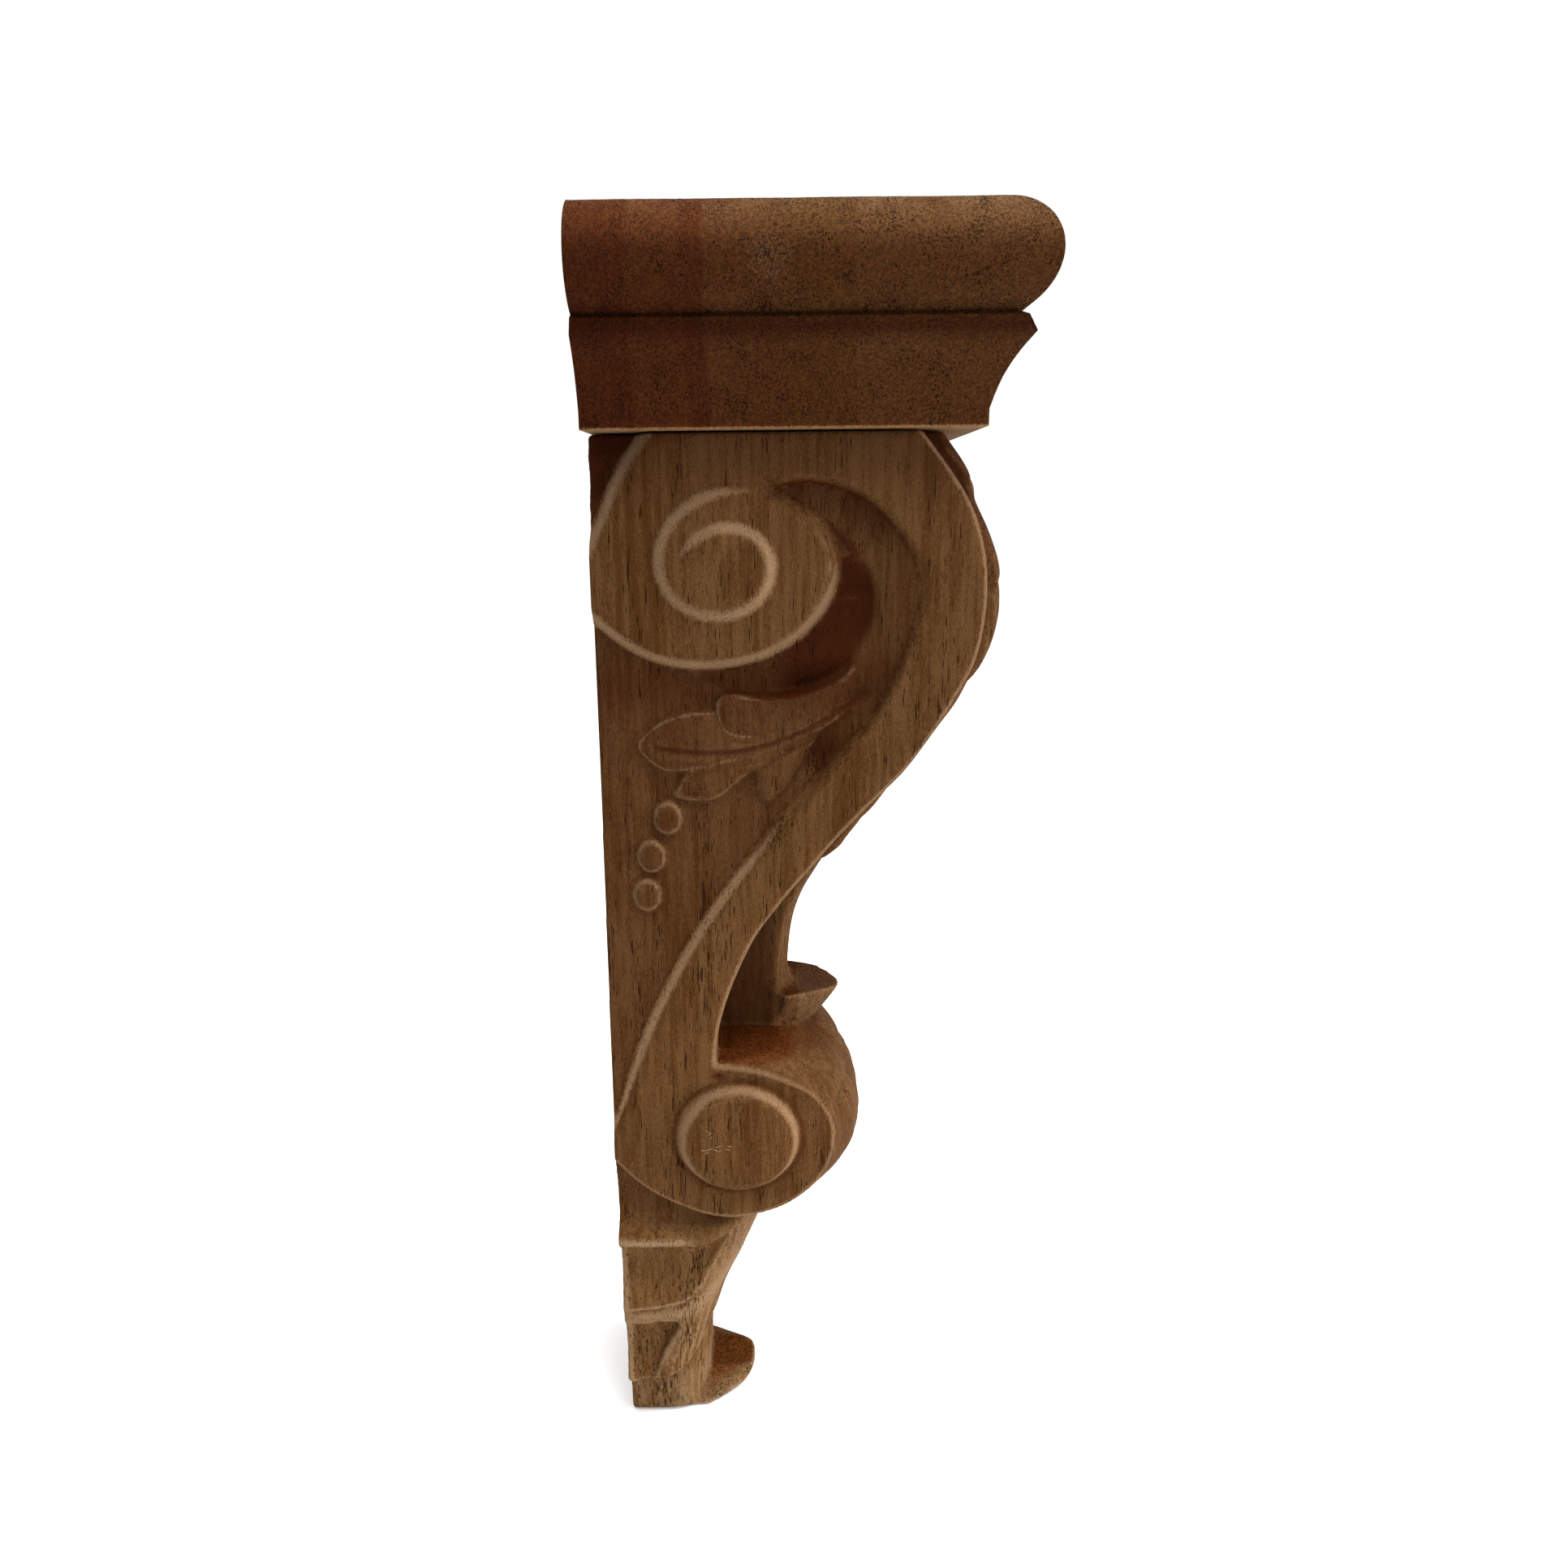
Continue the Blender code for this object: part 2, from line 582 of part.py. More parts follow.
def main():
    """Build the corbel."""
    clear_scene()
    wood = wood_material("carved hardwood", (0.23, 0.135, 0.075), 0.62)
    dark_wood = wood_material("cap end grain", (0.17, 0.085, 0.05), 0.66)
    body = corbel_body()
    body.data.materials.clear()
    body.data.materials.append(wood)
    cap = cap_board()
    cap.data.materials.append(dark_wood)
    for item in (body, cap):
        item.data.shade_smooth()
        item.data.set_sharp_from_angle(angle=math.radians(35))


main()
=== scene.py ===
"""Looks of a carved wooden corbel: its fine carving, its wood, the studio and the camera.

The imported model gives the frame. The carved body and the cap board are made again
here with the fine carving that the plain solids leave out, on the same outlines.
"""

import logging
import math
from dataclasses import dataclass, field
from enum import Enum
from typing import Sequence

import bmesh
import bpy
import numpy as np
from mathutils import Matrix, Vector


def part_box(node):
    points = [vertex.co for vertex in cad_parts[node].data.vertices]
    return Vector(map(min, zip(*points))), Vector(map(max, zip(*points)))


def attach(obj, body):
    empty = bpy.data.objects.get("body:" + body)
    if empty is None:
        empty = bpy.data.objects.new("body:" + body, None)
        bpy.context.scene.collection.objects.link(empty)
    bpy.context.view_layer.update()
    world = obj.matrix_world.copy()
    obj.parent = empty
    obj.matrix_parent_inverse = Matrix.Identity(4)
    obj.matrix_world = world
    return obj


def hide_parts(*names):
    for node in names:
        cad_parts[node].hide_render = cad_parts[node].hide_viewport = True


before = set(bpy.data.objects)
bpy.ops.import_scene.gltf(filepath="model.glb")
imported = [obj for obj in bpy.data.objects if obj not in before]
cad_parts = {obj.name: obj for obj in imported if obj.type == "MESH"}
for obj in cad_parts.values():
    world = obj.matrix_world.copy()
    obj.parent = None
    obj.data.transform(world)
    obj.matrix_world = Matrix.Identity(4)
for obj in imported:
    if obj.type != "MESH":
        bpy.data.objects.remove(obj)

LOG = logging.getLogger("corbel")

Point = tuple[float, float]
Colour = tuple[float, float, float]
Vector3 = tuple[float, float, float]
Feed = bpy.types.NodeSocket | float | Colour

MILLIMETRE = 0.001
FULL_TURN = 2.0 * math.pi
FLOOR_GAP = 0.0002
BODY_NODE = "carved_body"
CAP_NODE = "cap_board"

# The value of a bevel, line or crevice mark where there is none
NO_MARK = 3.0

# The corners of a cube of one unit, in the order in which fields are read
CUBE_CORNERS = [(i, j, k) for i in (0, 1) for j in (0, 1) for k in (0, 1)]

# Odd numbers that scatter the cells of the random lattice
LATTICE_PRIMES = (73856093, 19349663, 83492791)
SEED_PRIME = 2654435
SCATTER_PRIME = 1274126177

# The carver's side pattern, in millimetres: (depth in front of the back, height above the foot)
PATTERN_HEIGHT = 216.0
SCROLL_FOOT = 57.0
FRONT_ARRIS: list[Point] = [
    (60.0, 219.0), (69.8, 205.6), (73.9, 196.0), (74.9, 186.0), (73.6, 175.5),
    (69.6, 166.8), (60.7, 153.4), (50.2, 142.5), (42.3, 133.7), (32.9, 122.4),
    (28.0, 114.4), (24.2, 105.0), (22.2, 98.0), (21.6, 91.5),
]
FRONT_ARRIS_FOOT: Point = (21.8, 91.7)
ROLL_ARRIS: list[Point] = [
    (21.6, 91.5), (29.0, 90.5), (35.5, 88.3), (41.7, 84.3), (45.4, 78.8), (45.9, 73.5),
    (44.2, 67.6), (40.6, 62.9), (35.0, 59.0), (29.0, 56.9), (23.5, 56.4), (17.5, 57.6),
    (10.3, 60.8), (4.5, 65.0), (-3.0, 73.0),
]
ROLL_ARRIS_START = 23.4
ROLL_ARRIS_TOP = 91.5
BAND_INNER_EDGE: list[Point] = [
    (-3.0, 72.0), (1.4, 82.0), (5.3, 94.1), (9.9, 104.7), (15.9, 116.1), (22.8, 126.7),
    (30.4, 136.7), (36.5, 144.4), (47.5, 156.2), (54.9, 164.8), (60.2, 176.4), (62.5, 186.8),
    (60.3, 194.6), (54.8, 201.3), (48.9, 205.1), (41.5, 206.9), (34.0, 205.9),
]
VOLUTE_OUTER_EDGE: list[Point] = [
    (34.0, 205.9), (41.4, 202.0), (45.8, 197.5), (47.5, 191.8), (46.4, 186.4), (43.6, 181.5),
    (39.0, 177.1), (33.4, 174.0), (27.7, 172.4), (21.6, 171.8), (15.7, 172.3), (9.9, 174.0),
    (4.2, 177.4), (-3.0, 183.5),
]
VOLUTE_BACK_EDGE: list[Point] = [
    (-3.0, 193.0), (1.3, 201.3), (3.2, 206.4), (5.6, 210.7), (8.4, 214.9), (11.5, 219.0),
]
VOLUTE_CENTRE: Point = (23.9, 190.7)

# The inner edge of the volute as (turn in degrees, radius in millimetres) about its centre
VOLUTE_SPIRAL: list[Point] = [
    (56, 18.2), (72, 16.6), (90, 15.4), (113, 14.2), (136, 13.3), (158, 12.6), (181, 11.9),
    (208, 11.0), (236, 10.1), (263, 9.6), (294, 9.9), (323, 10.6), (348, 11.3), (369, 11.7),
    (391, 11.4), (412, 10.6), (438, 9.5), (465, 8.6), (493, 8.2), (507, 8.5),
]
CHANNEL_EDGE: list[Point] = [
    (34.0, 205.9), (43.2, 201.4), (50.0, 195.9), (54.0, 189.0), (54.4, 182.1), (52.0, 176.2),
    (48.3, 170.9), (42.6, 167.8), (35.8, 166.4), (27.0, 166.9), (19.0, 170.5),
]
CHANNEL_CLOSE: list[Point] = [(20.0, 180.0), (30.0, 190.0)]
STEM_ROOT: list[Point] = [
    (34.0, 205.9), (60.0, 206.0), (66.0, 186.0), (60.0, 168.0),
    (50.0, 156.0), (40.0, 160.0), (48.0, 178.0), (46.0, 198.0),
]

# Closed outlines of the spray's lobes, drawn over one another in this order
SPRAY_OUTLINES: list[list[Point]] = [
    [(44.0, 160.0), (40.0, 153.0), (35.1, 146.3), (32.7, 145.5), (31.0, 147.0), (30.2, 150.0),
     (31.5, 154.5), (37.0, 158.0)],
    [(43.0, 159.5), (35.0, 154.8), (28.8, 150.8), (24.0, 146.9), (20.4, 145.8), (16.6, 146.1),
     (13.9, 147.0), (15.2, 149.2), (16.8, 151.9), (20.2, 154.4), (26.0, 155.3), (34.0, 157.2)],
    [(52.5, 166.5), (45.4, 160.6), (40.6, 157.9), (33.0, 154.9), (25.6, 153.6), (19.5, 152.3),
     (13.3, 151.8), (9.6, 153.9), (7.3, 157.2), (9.2, 160.0), (12.6, 162.4), (17.1, 163.8),
     (22.5, 164.1), (28.0, 162.6), (38.0, 163.3), (46.0, 166.2)],
    [(53.0, 169.0), (46.0, 164.2), (38.0, 160.5), (31.0, 158.4), (25.4, 159.0), (23.2, 161.9),
     (22.8, 165.4), (25.3, 167.5), (33.0, 166.5), (39.7, 167.5), (44.6, 169.9), (48.5, 173.5)],
]
SPRAY_VEIN: list[Point] = [
    (11.0, 156.9), (15.9, 156.2), (21.1, 155.8), (25.6, 155.9), (30.9, 156.7), (35.7, 158.1),
    (40.6, 160.1), (45.4, 162.7), (52.1, 167.0),
]
BERRY_CENTRES: list[Point] = [(13.1, 142.7), (9.7, 134.9), (8.6, 127.0)]
BERRY_HALF_AXES: Point = (3.0, 3.5)
BUTTON_CENTRE: Point = (25.8, 75.0)
BUTTON_STROKES: list[list[Point]] = [
    [(-6.4, 3.2), (-5.6, 2.6)], [(-6.2, 2.1), (-5.0, 2.9)], [(-5.7, 1.5), (-5.1, 2.0)],
    [(-7.4, -1.2), (-6.3, -1.1), (-5.2, -0.7)], [(-6.8, -1.9), (-5.9, -1.5)],
    [(-4.9, -0.9), (-4.0, -1.3), (-3.2, -1.0)], [(-4.4, -0.4), (-3.4, -0.2)],
    [(-2.6, -0.8), (-1.6, -1.1)], [(-2.2, -0.2), (-1.2, -0.3)],
]
TORN_PITS: list[Point] = [(22.0, 88.3), (26.6, 87.3), (29.0, 87.0)]

# Front profile of the leaf and of the roll under its tip: (depth, height)
LEAF_FRONT: list[Point] = [
    (66.5, 219.0), (72.0, 211.2), (74.6, 206.6), (75.2, 203.0), (77.9, 196.4), (80.2, 186.8),
    (78.9, 177.2), (72.3, 164.1), (62.2, 150.7), (51.7, 137.0), (44.5, 127.0), (40.4, 120.8),
    (37.7, 113.4), (36.7, 106.0), (36.6, 99.0), (36.6, 90.0),
]
ROLL_FRONT: list[Point] = [
    (34.0, 91.8), (37.4, 90.5), (40.3, 88.9), (43.6, 87.3), (46.7, 84.7), (48.4, 82.2),
    (49.0, 80.3), (51.2, 77.0), (52.3, 71.5), (51.2, 66.0), (47.2, 60.5), (41.0, 56.5),
    (33.5, 53.0),
]

# The leaf's lobes: (height of the root, tip's distance from the middle, height of the tip, half width)
LEAF_LOBES: list[tuple[float, float, float, float]] = [
    (226.0, 20.5, 205.6, 7.2), (212.0, 22.0, 187.0, 7.6), (195.0, 21.2, 168.5, 7.0),
    (176.0, 18.0, 151.0, 6.0), (159.0, 13.6, 138.2, 4.6), (145.0, 10.0, 129.6, 3.4),
]

# Edges of the tail's layers: the scoop under the lip, the second scoop and the foot
TAIL_FRONT: list[Point] = [
    (35.0, 60.0), (31.0, 51.0), (27.2, 42.0), (22.8, 33.5), (20.3, 27.0), (18.3, 21.0),
    (17.5, 12.0), (17.4, -3.0),
]
TAIL_LIP: list[Point] = [
    (-3.0, 48.9), (6.4, 48.6), (13.3, 48.7), (18.5, 49.4), (24.0, 51.6), (34.0, 57.0),
]
TAIL_SCOOP_EDGE: list[Point] = [
    (-3.0, 31.6), (1.2, 31.8), (8.2, 32.6), (14.1, 34.3), (17.7, 38.6), (21.8, 46.4), (26.0, 56.0),
]
TAIL_SECOND_TOP: list[Point] = [
    (-3.0, 27.6), (6.0, 28.0), (11.4, 28.2), (11.0, 25.0), (8.3, 20.1), (6.6, 15.0), (5.8, 12.4),
]
TAIL_FOOT_EDGE: list[Point] = [
    (-3.0, 11.2), (0.9, 11.8), (6.4, 12.9), (11.8, 14.8), (16.4, 18.6), (22.0, 26.0),
]
TAIL_POCKET_CORNER: Point = (-3.0, 11.6)


class GrainAxis(Enum):
    """The direction in which a piece's grain runs."""

    ALONG_WIDTH = 0
    ALONG_HEIGHT = 2


def smooth_curve(points: Sequence[Point], steps: int = 6) -> np.ndarray:
    """Draw a smooth open curve through points.

    Args:
        points: the points that the curve passes through.
        steps: the number of pieces in each span.

    Returns:
        The curve's points, one row each.
    """
    knots = np.array([points[0], *points, points[-1]], dtype=float)
    share = np.linspace(0.0, 1.0, steps, endpoint=False)[:, None]
    spans = []
    for index in range(1, len(knots) - 2):
        a, b, c, d = knots[index - 1:index + 3]
        spans.append(0.5 * (2 * b + (c - a) * share + (2 * a - 5 * b + 4 * c - d) * share ** 2
                            + (3 * b - a - 3 * c + d) * share ** 3))
    return np.vstack([*spans, knots[-1:]])


def ease(value: np.ndarray) -> np.ndarray:
    """Return value limited to 0 to 1 and eased at both ends."""
    limited = np.clip(value, 0.0, 1.0)
    return limited * limited * (3.0 - 2.0 * limited)


def distance_to(curve: np.ndarray, across: np.ndarray, up: np.ndarray) -> tuple[np.ndarray, np.ndarray]:
    """Measure each grid point's distance to a curve.

    Args:
        curve: the curve's points.
        across: the grid's first coordinate.
        up: the grid's second coordinate, of the same shape.

    Returns:
        The distance, and the share of the curve's length at its nearest place.
    """
    lengths = np.hypot(*np.diff(curve, axis=0).T)
    starts = np.concatenate([[0.0], np.cumsum(lengths)])
    nearest = np.full(across.shape, 1e9)
    place = np.zeros(across.shape)
    for (ax, ay), (bx, by), length, start in zip(curve, curve[1:], lengths, starts):
        if length < 1e-9:
            continue
        share = ((across - ax) * (bx - ax) + (up - ay) * (by - ay)) / length ** 2
        share = np.clip(share, 0.0, 1.0)
        gap = np.hypot(across - ax - share * (bx - ax), up - ay - share * (by - ay))
        closer = gap < nearest
        nearest = np.where(closer, gap, nearest)
        place = np.where(closer, (start + share * length) / starts[-1], place)
    return nearest, place


def inside(outline: np.ndarray, across: np.ndarray, up: np.ndarray) -> np.ndarray:
    """Tell which grid points lie inside a closed outline.

    Args:
        outline: the outline's points; the last joins the first.
        across: the grid's first coordinate.
        up: the grid's second coordinate, of the same shape.

    Returns:
        True for each point inside.
    """
    odd = np.zeros(across.shape, dtype=bool)
    for (ax, ay), (bx, by) in zip(outline, np.roll(outline, -1, axis=0)):
        if ay == by:
            continue
        crosses = (ay > up) != (by > up)
        odd ^= crosses & (across < (bx - ax) * (up - ay) / (by - ay) + ax)
    return odd


def depth_inside(outline: np.ndarray, across: np.ndarray, up: np.ndarray) -> np.ndarray:
    """Return how far each grid point lies inside a closed outline, negative outside.

    Args:
        outline: the outline's points; the last joins the first.
        across: the grid's first coordinate.
        up: the grid's second coordinate, of the same shape.

    Returns:
        The distance to the outline, negative outside.
    """
    closed = np.vstack([outline, outline[:1]])
    gap, _ = distance_to(closed, across, up)
    return np.where(inside(outline, across, up), gap, -gap)


def profile_depth(points: Sequence[Point], heights: np.ndarray) -> np.ndarray:
    """Return the depth of a (depth, height) profile at each height.

    Args:
        points: the profile's points.
        heights: the heights to read.

    Returns:
        One depth for each height.
    """
    curve = smooth_curve(points)
    order = np.argsort(curve[:, 1])
    return np.interp(heights, curve[order, 1], curve[order, 0])


def profile_of_depth(points: Sequence[Point], depth: np.ndarray) -> np.ndarray:
    """Return the height of a (depth, height) edge at each depth.

    Args:
        points: the edge's points.
        depth: the depths to read.

    Returns:
        One height for each depth.
    """
    curve = smooth_curve(points)
    order = np.argsort(curve[:, 0])
    return np.interp(depth, curve[order, 0], curve[order, 1])


def front_arris_depth(heights: np.ndarray) -> np.ndarray:
    """Return the depth of the scroll's front edge above the roll, at each height."""
    return profile_depth([*FRONT_ARRIS[:-1], FRONT_ARRIS_FOOT], heights)


def roll_arris_depth(heights: np.ndarray) -> np.ndarray:
    """Return the depth of the lower volute's front edge at each height."""
    roll = [point for point in smooth_curve(ROLL_ARRIS) if point[0] > ROLL_ARRIS_START]
    return np.interp(heights, *np.array(sorted((h, d) for d, h in roll)).T)


def channel_outline() -> np.ndarray:
    """Return the closed outline of the hollow channel beside the upper volute."""
    return np.vstack([smooth_curve(CHANNEL_EDGE), CHANNEL_CLOSE])


def hump(distance: np.ndarray, reach: float) -> np.ndarray:
    """Return a bell-shaped value that is 1 at no distance and falls to 0 beyond its reach."""
    return np.exp(-(distance / reach) ** 2)


def strip(distance: np.ndarray, width: float | np.ndarray) -> np.ndarray:
    """Return 0 in the middle of a strip that starts at no distance, and 0.5 at both its sides."""
    return np.abs(distance / width - 0.5)


def soften(values: np.ndarray, reach: float, axes: Sequence[int]) -> np.ndarray:
    """Blur an array with a bell-shaped weight along some of its axes.

    Args:
        values: the array.
        reach: the weight's standard deviation in cells.
        axes: the axes to blur along.

    Returns:
        The blurred array.
    """
    span = max(1, math.ceil(2.5 * reach))
    weights = np.exp(-0.5 * (np.arange(-span, span + 1) / reach) ** 2)
    weights /= weights.sum()
    for axis in axes:
        padding = [(0, 0)] * values.ndim
        padding[axis] = (span, span)
        padded = np.pad(values, padding, mode="edge")
        total = np.zeros_like(values)
        for shift, weight in enumerate(weights):
            window = [slice(None)] * values.ndim
            window[axis] = slice(shift, shift + values.shape[axis])
            total += weight * padded[tuple(window)]
        values = total
    return values


def blend_lower(first: np.ndarray, second: np.ndarray, radius: float) -> np.ndarray:
    """Return the smaller of two fields, rounded where they meet."""
    share = np.clip(0.5 + 0.5 * (second - first) / radius, 0.0, 1.0)
    return second + (first - second) * share - radius * share * (1.0 - share)


@dataclass
class SideRelief:
    """The carving of one side, as the distance of the surface from the middle plane.

    All sizes are in millimetres on the side pattern.
    """

    depth: np.ndarray
    height: np.ndarray
    scroll_face: float = 28.0
    field_face: float = 25.0
    field_rise: float = 1.5
    bevel: float = 2.3
    border_bevel: float = 0.7
    snail_step: float = 1.5
    snail_bevel: float = 2.5
    channel_drop: float = 3.7
    spray_rise: float = 1.9
    berry_rise: float = 1.7
    berry_edge: float = 1.06
    button_rise: float = 3.1
    button_radius: float = 11.8
    button_bevel: float = 1.5
    button_stretch: float = 1.09
    button_crown: float = 0.35
    button_crown_radius: float = 10.2
    button_groove: float = 0.4
    button_groove_radius: float = 12.3
    button_shade_radius: float = 12.4
    lip_height: float = 2.9
    thin_edge: float = 0.9
    notch_drop: float = 2.6
    stem_rise: float = 2.2
    stem_drop: float = 0.5
    spray_pocket: Point = (40.0, 153.5)
    spray_pocket_drop: float = 1.5
    tail_drop: float = 2.2
    vein_depth: float = 0.75
    berry_groove: float = 0.4
    pit_depth: float = 1.2
    volute_dip: float = 1.3
    volute_dip_place: Point = (42.5, 79.0)
    pocket_top: float = 27.9
    shade_root: Point = (44.0, 156.0)

    def scroll_outline(self) -> np.ndarray:
        """Return the closed outline of the S-shaped scroll."""
        edges = [FRONT_ARRIS, ROLL_ARRIS, BAND_INNER_EDGE, VOLUTE_OUTER_EDGE, VOLUTE_BACK_EDGE]
        return np.vstack([smooth_curve(edge) for edge in edges])

    def distance(self, points: Sequence[Point]) -> np.ndarray:
        """Return each pattern point's distance to a curve."""
        return distance_to(smooth_curve(points), self.depth, self.height)[0]

    def reach_from(self, centre: Point, stretch: float = 1.0) -> np.ndarray:
        """Return each pattern point's distance from a centre, less along the depth by stretch."""
        return np.hypot((self.depth - centre[0]) / stretch, self.height - centre[1])

    def ground(self) -> np.ndarray:
        """Return the sunk field behind the scroll, with the hollow channel in it.

        Returns:
            The field's distance from the middle plane.
        """
        rise = self.field_rise * ease((158.0 - self.height) / 70.0)
        notch = -self.notch_drop * ease((14.0 - self.depth) / 7.0) * ease((self.height - 194.0) / 6.0)
        stem = self.stem_rise * ease((self.depth - 52.0) / 10.0) - self.stem_drop
        root = inside(smooth_curve(STEM_ROOT), self.depth, self.height)
        slope = soften(root.astype(float), 4.0, (0, 1)) * stem
        fade = 0.3 + 0.7 * ease((self.depth - 22.0) / 22.0)
        drop = -self.channel_drop * fade * self.channel_share()
        pocket = -self.spray_pocket_drop * hump(self.reach_from(self.spray_pocket), 5.0)
        to_tail = -self.tail_drop * ease((70.0 - self.height) / 12.0)
        return self.field_face + rise + notch + slope + drop + pocket + to_tail

    def channel_share(self) -> np.ndarray:
        """Return how far into the hollow channel each place lies, 0 to 1."""
        cove = 1.0 + 2.8 * ease((self.height - 172.0) / 12.0)
        return ease(depth_inside(channel_outline(), self.depth, self.height) / cove)

    def spray(self) -> np.ndarray:
        """Return how far the leaf spray and its berries stand off the field.

        Returns:
            The rise over the field, negative in grooves.
        """
        rise = np.zeros_like(self.depth)
        for order, outline in enumerate(SPRAY_OUTLINES):
            closed = smooth_curve([*outline, outline[0]], 5)
            deep = depth_inside(closed, self.depth, self.height)
            pillow = self.spray_rise * (0.68 * ease(deep / 0.7) + 0.32 * ease(deep / 3.4))
            fade = ease((56.0 - self.depth) / 12.0)
            lobe = np.where(deep > 0, (pillow + 0.12 * order) * fade, 0.0)
            dip = -0.35 * hump(np.minimum(deep, 0.0), 0.6) * (deep <= 0) * fade
            rise = np.where(deep > 0, np.maximum(lobe, 0.72 * rise), rise + dip)
        rise -= self.vein_depth * hump(self.distance(SPRAY_VEIN), 0.55)
        for centre in BERRY_CENTRES:
            span = self.berry_span(centre)
            edge = ease((self.berry_edge - span) / 0.24)
            berry = self.berry_rise * (0.75 * edge + 0.25 * (1.0 - span ** 2))
            ring = -self.berry_groove * hump(span - self.berry_edge - 0.08, 0.09)
            rise = np.where(span < self.berry_edge, np.maximum(berry, 0.0), rise + ring)
        return rise

    def snail_rings(self) -> list[tuple[np.ndarray, np.ndarray]]:
        """Return, for each turn of the volute, the way in from its edge and how much it stands.

        Returns:
            A pair of arrays for each of the two turns.
        """
        across = self.depth - VOLUTE_CENTRE[0]
        up = self.height - VOLUTE_CENTRE[1]
        turn = np.degrees(np.arctan2(up, across))
        angles, radii = np.array(VOLUTE_SPIRAL, dtype=float).T
        turn = np.where(turn < angles[0], turn + 360.0, turn)
        rings = []
        for lap in (0.0, 360.0):
            here = turn + lap
            growth = ease((here - angles[0] + 6.0) / 50.0) * ease((angles[-1] + 22.0 - here) / 50.0)
            rings.append((np.interp(here, angles, radii) - np.hypot(across, up), growth))
        return rings

    def snail(self) -> np.ndarray:
        """Return how far the inner turns of the volute rise above its outer turn.

        Returns:
            The rise over the scroll's face.
        """
        rise = sum(growth * ease(inward / self.snail_bevel) for inward, growth in self.snail_rings())
        middle = ease(self.reach_from(VOLUTE_CENTRE) / 7.0)
        return self.snail_step * (rise * middle + 1.0 - middle)

    def button_reach(self) -> np.ndarray:
        """Return the distance from the button's middle, measured as on its round face."""
        return self.reach_from(BUTTON_CENTRE, self.button_stretch)

    def button(self) -> np.ndarray:
        """Return how far the round button stands off the lower volute.

        Returns:
            The rise over the scroll's face, negative in the groove round it.
        """
        reach = self.button_reach()
        disc = self.button_rise * np.clip((self.button_radius - reach) / self.button_bevel, 0.0, 1.0)
        crown = self.button_crown * np.clip(1.0 - (reach / self.button_crown_radius) ** 2, 0.0, 1.0)
        groove = -self.button_groove * hump(reach - self.button_groove_radius, 0.6)
        dip = -self.volute_dip * hump(self.reach_from(self.volute_dip_place), 4.6)
        return disc + crown + groove + dip

    def inward(self) -> np.ndarray:
        """Return how far each place lies inside the scroll's outline, negative outside."""
        return depth_inside(self.scroll_outline(), self.depth, self.height)

    def band_bevel(self) -> np.ndarray:
        """Return the width of the bevel on the band's inner edge: wide below, narrow above."""
        low = ease((156.0 - self.height) / 10.0)
        return self.border_bevel + (self.bevel - self.border_bevel) * low

    def face(self) -> np.ndarray:
        """Return the scroll's carved face, with bevels down to the field at its inner edges.

        Returns:
            The face's distance from the middle plane.
        """
        volute = np.minimum(self.distance(VOLUTE_OUTER_EDGE), self.distance(VOLUTE_BACK_EDGE))
        band = self.distance(BAND_INNER_EDGE) / self.band_bevel()
        share = np.clip(np.minimum(volute / self.bevel, band), 0.0, 1.0) ** 0.85
        drop = 0.85 * (self.scroll_face - self.ground())
        border = 0.25 * hump(self.distance(FRONT_ARRIS) - 0.4, 0.7)
        pits = sum(self.pit_depth * hump(self.reach_from(centre, 2.0), 0.8) for centre in TORN_PITS)
        return self.scroll_face - drop * (1.0 - share) - border - pits + self.snail() + self.button()

    def tail(self) -> np.ndarray:
        """Return the tail's relief, as layers that each flare out to their lower edge.

        Returns:
            The tail's distance from the middle plane.
        """
        height = self.height
        lip = profile_of_depth(TAIL_LIP, self.depth)
        scoop = profile_of_depth(TAIL_SCOOP_EDGE, self.depth)
        foot = profile_of_depth(TAIL_FOOT_EDGE, self.depth)
        flare = ease((lip + 6.5 - height) / 4.5)
        cove = 24.2 + 3.4 * flare
        hollow = np.clip((lip - height) / (lip - scoop + 1e-6), 0.0, 1.0)
        second = 24.9 - 1.7 * np.sin(math.pi * hollow ** 0.8) - 0.1 * hollow
        band = 23.8 - 0.25 * ease((scoop - height) / 3.0)
        third = 22.0 - 1.8 * np.sin(math.pi * np.clip((self.pocket_top - height) / 16.0, 0.0, 1.0))
        lower = np.where(self.pocket() > 0, third, band - 0.7 * ease((29.0 - height) / 14.0))
        base = 16.8 - 0.1 * (12.0 - height)
        face = np.where(height > lip, cove, np.where(height > scoop, second, lower))
        face = np.where(height < foot, base, face)
        return soften(face, 0.55, (0, 1))

    def pocket(self) -> np.ndarray:
        """Return how far each place lies inside the tail's second scoop, negative outside."""
        outline = np.vstack([smooth_curve(TAIL_SECOND_TOP), [TAIL_POCKET_CORNER]])
        return depth_inside(outline, self.depth, self.height)

    def on_side(self) -> np.ndarray:
        """Return whether each place lies on the side, behind the scroll's front edge.

        Returns:
            True for each place on the side.
        """
        lower = roll_arris_depth(self.height)
        upper = front_arris_depth(self.height)
        return self.depth < np.where(self.height > ROLL_ARRIS_TOP, upper, lower) + 0.4

